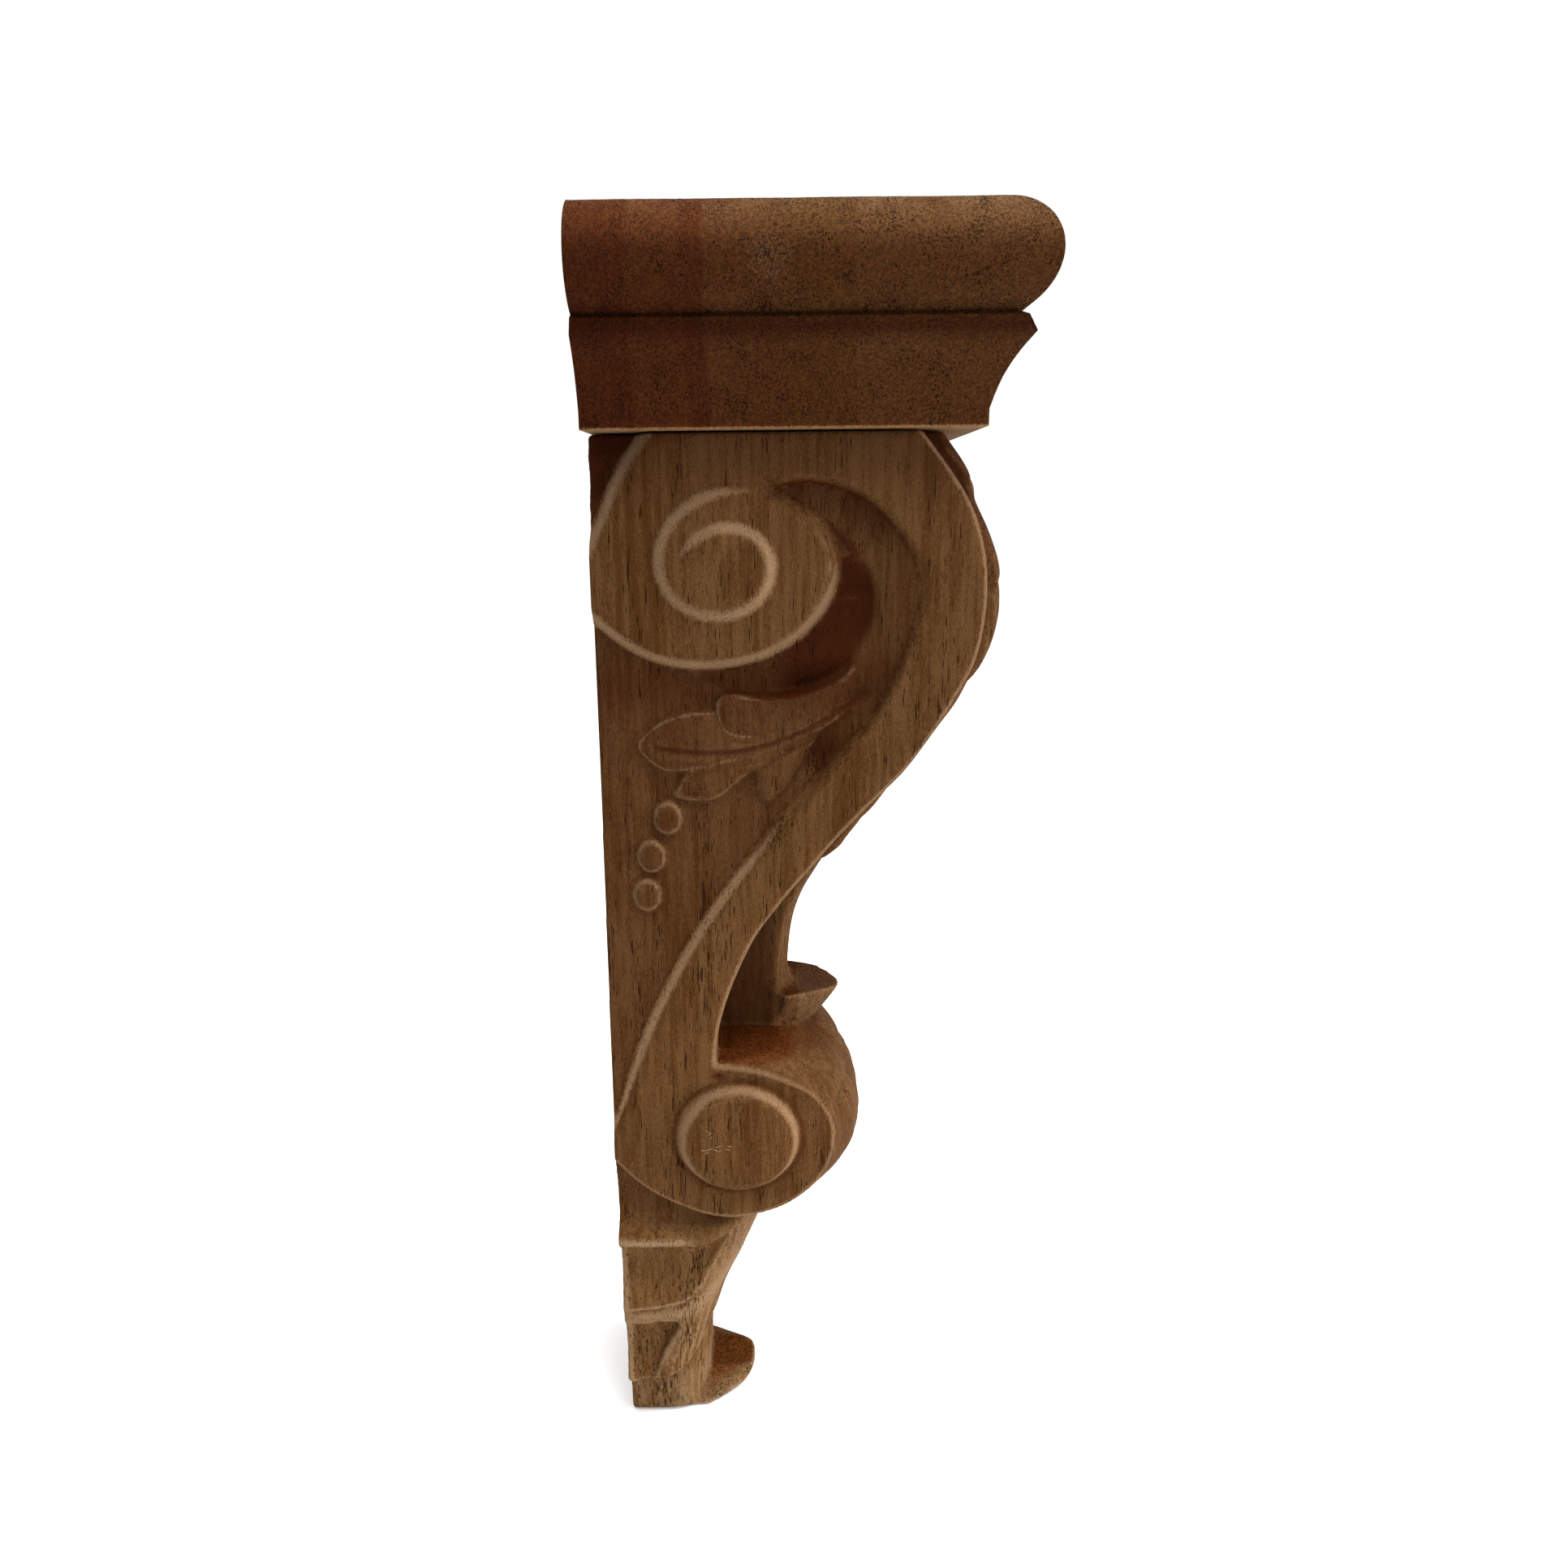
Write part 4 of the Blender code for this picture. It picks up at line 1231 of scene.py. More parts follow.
def lattice_noise(places: np.ndarray, seed: int) -> np.ndarray:
    """Return smooth random values from -1 to 1.

    Args:
        places: one row for each place, where one unit is the size of a blotch.
        seed: picks one pattern of many.

    Returns:
        One value for each place.
    """
    base = np.floor(places).astype(np.int64)
    share = ease(places - base)
    total = np.zeros(len(places))
    for step in CUBE_CORNERS:
        cell = base + step
        scattered = (cell * LATTICE_PRIMES).T
        mixed = scattered[0] ^ scattered[1] ^ scattered[2] ^ (seed * SEED_PRIME)
        mixed = (mixed ^ (mixed >> 13)) * SCATTER_PRIME & 0x7FFFFFFF
        value = (mixed ^ (mixed >> 11)) % 65536 / 32768.0 - 1.0
        total += value * np.prod(np.where(step, share, 1.0 - share), axis=1)
    return total


@dataclass
class CapBoard:
    """The moulded board glued on the body, its moulding returned along both sides.

    Sizes are in metres, in the frame's own axes.
    """

    foot: float
    half_width: float = 0.033
    depth: float = 0.0735
    foot_height: float = 0.003
    cavetto_height: float = 0.0123
    cavetto_projection: float = 0.0069
    cavetto_hollow: float = 0.0009
    fillet_height: float = 0.0029
    fillet_set_back: float = 0.0012
    bullnose_height: float = 0.0198
    bullnose_projection: float = 0.0104
    bullnose_start: float = math.radians(-68.0)
    side_steps: int = 130
    front_steps: int = 120
    roughness: float = 0.00006
    fine_cells: Vector3 = (60.0, 1900.0, 1900.0)
    broad_cells: Vector3 = (90.0, 160.0, 160.0)
    torn_place: tuple[float, float] = (-0.0345, 0.1345)
    torn_reach: float = 0.0065
    torn_height: float = 0.0006
    torn_fine_cells: float = 1300.0
    torn_broad_cells: float = 500.0
    flat_reach: float = 1e-5
    foot_edge: float = 0.0009
    notch_shade_drop: float = 0.0020
    notch_shade_reach: float = 0.0032
    crisp_angle: float = math.radians(38.0)

    @property
    def notch_level(self) -> float:
        """Return the height of the notch under the bullnose above the board's foot."""
        return self.foot_height + self.cavetto_height + self.fillet_height

    def profile(self) -> np.ndarray:
        """Return the moulding as (projection, height) rows from its foot to its top.

        Returns:
            The moulding's rows, in metres.
        """
        slope = math.hypot(self.cavetto_projection, self.cavetto_height)
        share = np.linspace(0.0, 1.0, 22)
        hollow = self.cavetto_hollow * np.sin(math.pi * share) / slope
        cavetto = np.stack([self.cavetto_projection * share - hollow * self.cavetto_height,
                            self.foot_height + self.cavetto_height * share
                            + hollow * self.cavetto_projection], axis=1)
        notch = self.notch_level
        radius = self.bullnose_height / 2
        turn = np.linspace(self.bullnose_start, math.pi / 2, 34)
        nose = np.stack([self.bullnose_projection - radius + radius * np.cos(turn),
                         notch + radius + radius * np.sin(turn)], axis=1)
        base = np.stack([np.zeros(5), np.linspace(0.0, self.foot_height, 6)[:-1]], axis=1)
        step = np.linspace([self.cavetto_projection, notch - self.fillet_height],
                           [self.cavetto_projection - self.fillet_set_back, notch], 6)[1:]
        return np.vstack([base, cavetto, step, nose])

    def loop(self, projection: float, level: float) -> np.ndarray:
        """Return one closed level line of the moulding, starting at the back on the right.

        Args:
            projection: how far the line stands out from the board's foot.
            level: its height above the board's foot.

        Returns:
            The line's places in the frame, one row each.
        """
        half = self.half_width + projection
        front = -(self.depth + projection)
        corners = [(half, 0.0), (-half, 0.0), (-half, front), (half, front), (half, 0.0)]
        counts = [self.front_steps, self.side_steps, self.front_steps, self.side_steps]
        sides = [np.linspace(a, b, count, endpoint=False)
                 for a, b, count in zip(corners, corners[1:], counts)]
        line = np.vstack(sides)
        return np.column_stack([line, np.full(len(line), self.foot + level)])

    def build(self) -> bpy.types.Object:
        """Make the board's mesh, slightly rough and with torn end grain in one place.

        Returns:
            The board.
        """
        loops = [self.loop(projection, level) for projection, level in self.profile()]
        count = len(loops[0])
        corners = np.vstack(loops)
        rows = np.arange(len(loops) - 1)[:, None] * count
        here = np.arange(count)[None, :]
        after = (here + 1) % count
        sides = np.stack([rows + here, rows + count + here, rows + count + after, rows + after], axis=-1)
        item = mesh_object("cap_board_wood", corners, sides.reshape(-1, 4))
        self.close(item, count, len(loops))
        self.weather(item)
        return item

    def close(self, item: bpy.types.Object, count: int, loops: int) -> None:
        """Close the board's underside and top.

        Args:
            item: the object.
            count: the number of corners in each level line.
            loops: the number of level lines.
        """
        mesh = bmesh.new()
        mesh.from_mesh(item.data)
        mesh.verts.ensure_lookup_table()
        for first in (0, (loops - 1) * count):
            ring = [mesh.verts[first + index] for index in range(count)]
            mesh.faces.new(ring)
        bmesh.ops.recalc_face_normals(mesh, faces=mesh.faces)
        mesh.to_mesh(item.data)
        mesh.free()

    def weather(self, item: bpy.types.Object) -> None:
        """Roughen the moulding slightly, and tear its end grain in one place.

        Args:
            item: the object.
        """
        mesh = item.data
        places, normals = mesh_corners(mesh)
        fine = lattice_noise(places * self.fine_cells, 3)
        broad = lattice_noise(places * self.broad_cells, 5)
        push = self.roughness * (0.5 * fine + broad)
        torn = np.hypot(places[:, 1] - self.torn_place[0], places[:, 2] - self.torn_place[1])
        ragged = lattice_noise(places * self.torn_fine_cells, 8)
        ragged = ragged * lattice_noise(places * self.torn_broad_cells, 9)
        tear = self.torn_height * ragged * ease(1.6 - torn / self.torn_reach)
        push += np.where(places[:, 0] < 0, tear, 0.0)
        level = places[:, 2]
        back = places[:, 1] > -self.flat_reach
        flat = (level < self.foot + self.flat_reach) | (level > level.max() - self.flat_reach)
        push[back | flat] = 0.0
        mesh.vertices.foreach_set("co", (places + normals * push[:, None]).astype(np.float32).ravel())
        mesh.update()
        marks = unmarked(len(places))
        marks.line = np.where(places[:, 0] < 0, 0.50 + 0.22 * (torn / self.torn_reach) ** 2, NO_MARK)
        rise = level - self.foot
        marks.line = np.minimum(marks.line, 0.15 + rise / self.foot_edge)
        # painted shade on the moulding just under the bullnose's notch
        from_notch = np.abs(rise - self.notch_level + self.notch_shade_drop)
        marks.hollow = 0.7 * ease(1.0 - from_notch / self.notch_shade_reach)
        marks.store(mesh)
        mesh.shade_smooth()
        mesh.set_sharp_from_angle(angle=self.crisp_angle)


class Wiring:
    """The nodes of one finish, added and joined by short calls."""

    # The places of the colour sockets among a mix node's inputs and outputs
    MIX_COLOURS = (6, 7)
    MIXED_COLOUR = 2

    def __init__(self, name: str) -> None:
        """Start a material with one shader.

        Args:
            name: the material's name.
        """
        self.material = bpy.data.materials.new(name)
        self.material.use_nodes = True
        self.tree = self.material.node_tree
        self.shader = self.tree.nodes["Principled BSDF"]

    def feed(self, socket: bpy.types.NodeSocket, value: Feed) -> None:
        """Give a socket a fixed value or join another node's output to it.

        Args:
            socket: the socket.
            value: a number, a colour or another node's output.
        """
        if isinstance(value, bpy.types.NodeSocket):
            self.tree.links.new(value, socket)
        elif isinstance(value, tuple) and len(value) == 3 and socket.type == "RGBA":
            socket.default_value = (*value, 1.0)
        else:
            socket.default_value = value

    def math(self, operation: str, first: Feed, second: Feed = 0.0) -> bpy.types.NodeSocket:
        """Return a sum, product or other simple result of two values.

        Args:
            operation: the math node's operation.
            first: the first value.
            second: the second value, where the operation takes one.

        Returns:
            The result.
        """
        node = self.tree.nodes.new("ShaderNodeMath")
        node.operation = operation
        self.feed(node.inputs[0], first)
        self.feed(node.inputs[1], second)
        return node.outputs[0]

    def span(self, value: Feed, low: float, high: float, start: float = 0.0,
             end: float = 1.0) -> bpy.types.NodeSocket:
        """Return value moved from the range low to high into start to end, eased and limited.

        Args:
            value: the value to move.
            low: the range's start.
            high: the range's end.
            start: the result at low.
            end: the result at high.

        Returns:
            The moved value.
        """
        node = self.tree.nodes.new("ShaderNodeMapRange")
        node.interpolation_type = "SMOOTHSTEP"
        for index, part in enumerate((value, low, high, start, end)):
            self.feed(node.inputs[index], part)
        return node.outputs[0]

    def mix(self, share: Feed, first: Feed, second: Feed, blend: str = "MIX") -> bpy.types.NodeSocket:
        """Return a mix of two colours.

        Args:
            share: the second colour's share.
            first: the first colour.
            second: the second colour.
            blend: the kind of mix.

        Returns:
            The mixed colour.
        """
        node = self.tree.nodes.new("ShaderNodeMix")
        node.data_type = "RGBA"
        node.blend_type = blend
        self.feed(node.inputs["Factor"], share)
        for index, colour in zip(self.MIX_COLOURS, (first, second)):
            self.feed(node.inputs[index], colour)
        return node.outputs[self.MIXED_COLOUR]

    def mark(self, name: str) -> bpy.types.NodeSocket:
        """Return a value stored on the mesh.

        Args:
            name: the name of the stored value.

        Returns:
            The stored value.
        """
        node = self.tree.nodes.new("ShaderNodeAttribute")
        node.attribute_name = name
        return node.outputs["Fac"]

    def part(self, vector: bpy.types.NodeSocket, axis: int) -> bpy.types.NodeSocket:
        """Return one of a vector's three numbers.

        Args:
            vector: the vector.
            axis: 0, 1 or 2.

        Returns:
            The number along that axis.
        """
        node = self.tree.nodes.new("ShaderNodeSeparateXYZ")
        self.feed(node.inputs[0], vector)
        return node.outputs[axis]

    def noise(self, place: bpy.types.NodeSocket, cell: Vector3, detail: float = 2.0,
              shift: float = 0.0) -> bpy.types.NodeSocket:
        """Return smooth noise whose blotches have a size of cell along each axis.

        Args:
            place: where on the object, in metres.
            cell: the size of a blotch along each axis, in millimetres.
            detail: how many finer layers are added.
            shift: moves the pattern, so that two of them differ.

        Returns:
            The noise, around 0.5.
        """
        mapping = self.tree.nodes.new("ShaderNodeMapping")
        self.feed(mapping.inputs["Vector"], place)
        mapping.inputs["Location"].default_value = (shift, 2.0 * shift, -shift)
        mapping.inputs["Scale"].default_value = tuple(1.0 / (size * MILLIMETRE) for size in cell)
        node = self.tree.nodes.new("ShaderNodeTexNoise")
        node.inputs["Scale"].default_value = 1.0
        node.inputs["Detail"].default_value = detail
        self.feed(node.inputs["Vector"], mapping.outputs[0])
        return node.outputs[0]

    def bump(self, height: bpy.types.NodeSocket, distance: float) -> None:
        """Make the surface look raised by height times distance, in metres.

        Args:
            height: the height, as a share of distance.
            distance: the greatest rise, in metres.
        """
        node = self.tree.nodes.new("ShaderNodeBump")
        node.inputs["Strength"].default_value = 1.0
        node.inputs["Distance"].default_value = distance
        self.feed(node.inputs["Height"], height)
        self.tree.links.new(node.outputs[0], self.shader.inputs["Normal"])


@dataclass(frozen=True)
class Blotches:
    """One pattern of noise: a blotch's size across the grain and along it, in millimetres.

    detail is how many finer layers are added, and shift moves the pattern so
    that two of them differ.
    """

    across: float
    along: float
    detail: float = 2.0
    shift: float = 0.0


@dataclass(frozen=True)
class WoodFinish:
    """An unfinished open-grained wood, solid through the piece, with its grain along one axis."""

    name: str
    grain: GrainAxis
    pale: Colour
    deep: Colour
    pore: Colour
    end_grain: Colour
    # the colour of painted shade in hollows and inner corners, and of the dark pits in end grain
    hollow: Colour
    # the colour of sanded wood, also laid on the spray's edges as painted highlight
    sanded: Colour
    # painted light and shade: colour factors by height
    painted_light_levels: tuple[tuple[float, Colour], ...]
    roughness: float = 0.8
    gloss: float = 0.03
    specks: float = 0.16
    speck_size: float = 0.34
    noise_low: float = 0.33
    noise_high: float = 0.67
    streak_share: float = 0.55
    end_share: float = 0.85
    end_from: float = 0.78
    end_pits: float = 0.75
    end_pit_size: float = 0.7
    hollow_share: float = 0.92
    crevice_share: float = 0.75
    crevice_reach: float = 1.1
    pore_share: float = 0.85
    pores_sanded_away: float = 0.6
    fibre_share: float = 0.35
    pore_length: float = 4.5
    pore_width: float = 0.30
    pore_level: float = 0.66
    pore_crowding: float = 0.5
    foot_pores: float = 0.0
    foot_level: float = -0.108
    tail_level: float = -0.046
    speckle: float = 0.45
    staves: tuple[tuple[float, Colour], ...] = ()
    stave_waver: float = 0.002
    stave_joint: float = 0.0012
    bump_depth: float = 0.00018
    streaks: Blotches = Blotches(1.5, 70.0, 3.0)
    figure: Blotches = Blotches(11.0, 120.0, 2.0, 3.7)
    fibres: Blotches = Blotches(0.16, 3.0, 2.0, 5.5)
    fine_mottle: Blotches = Blotches(0.28, 0.9, 2.0, 2.9)
    broad_mottle: Blotches = Blotches(0.9, 8.0, 3.0, 7.7)
    sanding: Blotches = Blotches(0.35, 1.0, 3.0, 9.1)
    pore_crowds: Blotches = Blotches(5.0, 30.0, 2.0, 6.2)

    def grained(self, wiring: Wiring, place: bpy.types.NodeSocket,
                kind: Blotches) -> bpy.types.NodeSocket:
        """Return noise whose blotches are drawn out along the grain."""
        cell = tuple(kind.along if axis == self.grain.value else kind.across for axis in range(3))
        return wiring.noise(place, cell, kind.detail, kind.shift)

    def material(self) -> bpy.types.Material:
        """Return the finish as a material.

        Returns:
            The material.
        """
        wiring = Wiring(self.name)
        place = wiring.tree.nodes.new("ShaderNodeTexCoord").outputs["Object"]
        streak = self.grained(wiring, place, self.streaks)
        figure = self.grained(wiring, place, self.figure)
        streak_part = wiring.math("MULTIPLY", streak, self.streak_share)
        figure_part = wiring.math("MULTIPLY", figure, 1.0 - self.streak_share)
        tone = wiring.math("ADD", streak_part, figure_part)
        tone = wiring.math("ADD", tone, self.mottle(wiring, place))
        colour = wiring.mix(wiring.span(tone, self.noise_low, self.noise_high), self.deep, self.pale)
        ends = self.end_facing(wiring)
        colour = wiring.mix(wiring.math("MULTIPLY", ends, self.end_share), colour, self.end_grain)
        pits = wiring.noise(place, (self.end_pit_size,) * 3, 2.0, 8.8)
        pits = wiring.span(pits, 0.5, 0.6, 0.0, self.end_pits)
        colour = wiring.mix(wiring.math("MULTIPLY", ends, pits), colour, self.hollow)
        colour = self.stave_tint(wiring, place, colour)
        # sanded bevels and edges and worn corners turn lighter; the spray's edges also get painted
        # highlight, and the top of the leaf's curled tip is made lighter
        light = self.sanded_and_highlight_share(wiring, place)
        # painted shade: the hollow mark darkens hollows towards the hollow colour
        shade = wiring.math("MINIMUM", wiring.mark("hollow"), 1.0)
        shade = wiring.math("MULTIPLY", shade, self.hollow_share)
        colour = wiring.mix(shade, colour, self.hollow)
        colour = wiring.mix(light, colour, self.sanded)
        # painted shade in the relief's inner corners, from the crevice mark, towards the hollow colour
        crevice = wiring.span(wiring.mark("crevice"), 0.0, self.crevice_reach, self.crevice_share, 0.0)
        colour = wiring.mix(crevice, colour, self.hollow)
        pores = self.pores(wiring, place)
        lost = wiring.math("MULTIPLY", light, self.pores_sanded_away)
        keep = wiring.math("SUBTRACT", self.pore_share, lost)
        colour = wiring.mix(wiring.math("MULTIPLY", pores, keep), colour, self.pore)
        # painted light and shade: the colour is scaled by height
        colour = wiring.mix(1.0, colour, self.painted_light_gain(wiring, place), "MULTIPLY")
        colour = wiring.mix(1.0, colour, self.speckles(wiring, place), "MULTIPLY")
        wiring.feed(wiring.shader.inputs["Base Color"], colour)
        rough = wiring.span(streak, 0.3, 0.7, self.roughness - 0.06, self.roughness + 0.08)
        wiring.feed(wiring.shader.inputs["Roughness"], rough)
        wiring.shader.inputs["Specular IOR Level"].default_value = self.gloss
        fibre = self.grained(wiring, place, self.fibres)
        height = wiring.math("SUBTRACT", wiring.math("MULTIPLY", fibre, self.fibre_share), pores)
        wiring.bump(height, self.bump_depth)
        return wiring.material

    def mottle(self, wiring: Wiring, place: bpy.types.NodeSocket) -> bpy.types.NodeSocket:
        """Return the fine speckle of the fibres, around 0.

        Args:
            wiring: the finish's nodes.
            place: where on the object, in metres.

        Returns:
            The speckle.
        """
        fine = wiring.math("SUBTRACT", self.grained(wiring, place, self.fine_mottle), 0.5)
        broad = wiring.math("SUBTRACT", self.grained(wiring, place, self.broad_mottle), 0.5)
        return wiring.math("MULTIPLY", wiring.math("ADD", fine, broad), self.speckle)

    def speckles(self, wiring: Wiring, place: bpy.types.NodeSocket) -> bpy.types.NodeSocket:
        """Return the grey of the fine light and dark specks of rough fibre.

        Args:
            wiring: the finish's nodes.
            place: where on the object, in metres.

        Returns:
            The grey, around 1.
        """
        fine = wiring.noise(place, (self.speck_size,) * 3, 2.0, 4.4)
        level = wiring.span(fine, self.noise_low, self.noise_high, 1.0 - self.specks, 1.0 + self.specks)
        grey = wiring.tree.nodes.new("ShaderNodeCombineColor")
        for socket in grey.inputs:
            wiring.feed(socket, level)
        return grey.outputs[0]

    def sanded_and_highlight_share(self, wiring: Wiring, place: bpy.types.NodeSocket) -> bpy.types.NodeSocket:
        """Return how light and fuzzy each place is, 0 to 1.

        Sanded bevels and edges and worn corners are light, the top of the leaf's
        curled tip is made light, and the spray's edges get painted highlight.

        Args:
            wiring: the finish's nodes.
            place: where on the object, in metres.

        Returns:
            The share of the sanded colour.
        """
        fuzz = self.grained(wiring, place, self.sanding)
        ragged = wiring.math("MULTIPLY", wiring.math("SUBTRACT", fuzz, 0.5), 0.8)
        bevel = wiring.span(wiring.math("ADD", wiring.mark("bevel"), ragged), 0.1, 0.66, 0.9, 0.0)
        line = wiring.span(wiring.math("ADD", wiring.mark("line"), ragged), 0.2, 0.62, 0.6, 0.0)
        worn = wiring.math("ADD", wiring.mark("wear"), wiring.math("MULTIPLY", ragged, 0.06))
        wear = wiring.span(worn, 0.03, 0.16, 0.0, 0.6)
        share = wiring.math("MAXIMUM", wiring.math("MAXIMUM", bevel, line), wear)
        return wiring.math("MULTIPLY", share, wiring.span(fuzz, 0.25, 0.7, 0.6, 1.0))

    def stave_tint(self, wiring: Wiring, place: bpy.types.NodeSocket,
                   colour: bpy.types.NodeSocket) -> bpy.types.NodeSocket:
        """Tint each of the staves that the board is glued up from, front to back.

        Args:
            wiring: the finish's nodes.
            place: where on the object, in metres.
            colour: the wood's colour before the tint.

        Returns:
            The tinted colour.
        """
        if not self.staves:
            return colour
        waver = wiring.math("MULTIPLY", wiring.noise(place, (40.0, 6.0, 9.0), 2.0, 1.3), self.stave_waver)
        depth = wiring.math("ADD", wiring.math("MULTIPLY", wiring.part(place, 1), -1.0), waver)
        tint = self.staves[0][1]
        for start, following in self.staves[1:]:
            tint = wiring.mix(wiring.span(depth, start, start + self.stave_joint), tint, following)
        return wiring.mix(1.0, colour, tint, "MULTIPLY")

    def end_facing(self, wiring: Wiring) -> bpy.types.NodeSocket:
        """Return how squarely the surface cuts across the grain, 0 to 1.

        Args:
            wiring: the finish's nodes.

        Returns:
            The share of end grain.
        """
        normal = wiring.tree.nodes.new("ShaderNodeNewGeometry").outputs["Normal"]
        facing = wiring.math("ABSOLUTE", wiring.part(normal, self.grain.value))
        return wiring.span(facing, self.end_from, 0.97)

    def pores(self, wiring: Wiring, place: bpy.types.NodeSocket) -> bpy.types.NodeSocket:
        """Return where the open pores show, 0 to 1.

        Args:
            wiring: the finish's nodes.
            place: where on the object, in metres.

        Returns:
            The share of pore.
        """
        fine = self.grained(wiring, place, Blotches(self.pore_width, self.pore_length, 1.0))
        crowd = self.grained(wiring, place, self.pore_crowds)
        extra = wiring.math("MULTIPLY", wiring.math("SUBTRACT", crowd, 0.5), self.pore_crowding)
        extra = wiring.math("ADD", extra, self.near_foot(wiring, place, self.foot_pores))
        return wiring.span(wiring.math("ADD", fine, extra), self.pore_level, self.pore_level + 0.07)

    def near_foot(self, wiring: Wiring, place: bpy.types.NodeSocket, most: float) -> bpy.types.NodeSocket:
        """Return a value that grows from 0 above the tail to most at the foot."""
        return wiring.span(wiring.part(place, 2), self.foot_level, self.tail_level, most, 0.0)

    def painted_light_gain(self, wiring: Wiring, place: bpy.types.NodeSocket) -> bpy.types.NodeSocket:
        """Return the painted light and shade that the wood gains with height, from its top to its foot.

        Args:
            wiring: the finish's nodes.
            place: where on the object, in metres.

        Returns:
            The factor for each colour.
        """
        height = wiring.part(place, 2)
        gain = self.painted_light_levels[0][1]
        for (below, _), (level, following) in zip(self.painted_light_levels, self.painted_light_levels[1:]):
            gain = wiring.mix(wiring.span(height, below, level), gain, following)
        return gain


@dataclass
class ButtonStrokes:
    """A few faint strokes, none of them letters, scratched into the face of the button."""

    foot: float
    scale: float
    face: float = 31.16
    crown: float = SideRelief.button_crown
    crown_radius: float = SideRelief.button_crown_radius
    radius: float = 0.14

    def build(self) -> bpy.types.Object:
        """Make the strokes as thin tubes that are half sunk in the button's face.

        Returns:
            The strokes, with the marks that their finish reads.
        """
        curve = bpy.data.curves.new("button_strokes", "CURVE")
        curve.dimensions = "3D"
        curve.bevel_depth = self.radius * self.scale
        curve.bevel_resolution = 1
        for stroke in BUTTON_STROKES:
            points = smooth_curve(stroke, 4)
            spline = curve.splines.new("POLY")
            spline.points.add(len(points) - 1)
            for point, (across, up) in zip(spline.points, points):
                height = self.foot + (BUTTON_CENTRE[1] + up) * self.scale
                depth = (BUTTON_CENTRE[0] + across) * self.scale
                crown = self.crown * (1.0 - (math.hypot(across, up) / self.crown_radius) ** 2)
                out = (self.face + crown) * self.scale
                point.co = (-out, -depth, height, 1.0)
        holder = bpy.data.objects.new("button_strokes", curve)
        mesh = bpy.data.meshes.new_from_object(holder)
        bpy.data.objects.remove(holder)
        item = bpy.data.objects.new("button_strokes", mesh)
        bpy.context.scene.collection.objects.link(item)
        marks = unmarked(len(mesh.vertices))
        marks.bevel = np.full(len(mesh.vertices), 0.2)
        marks.store(mesh)
        return item


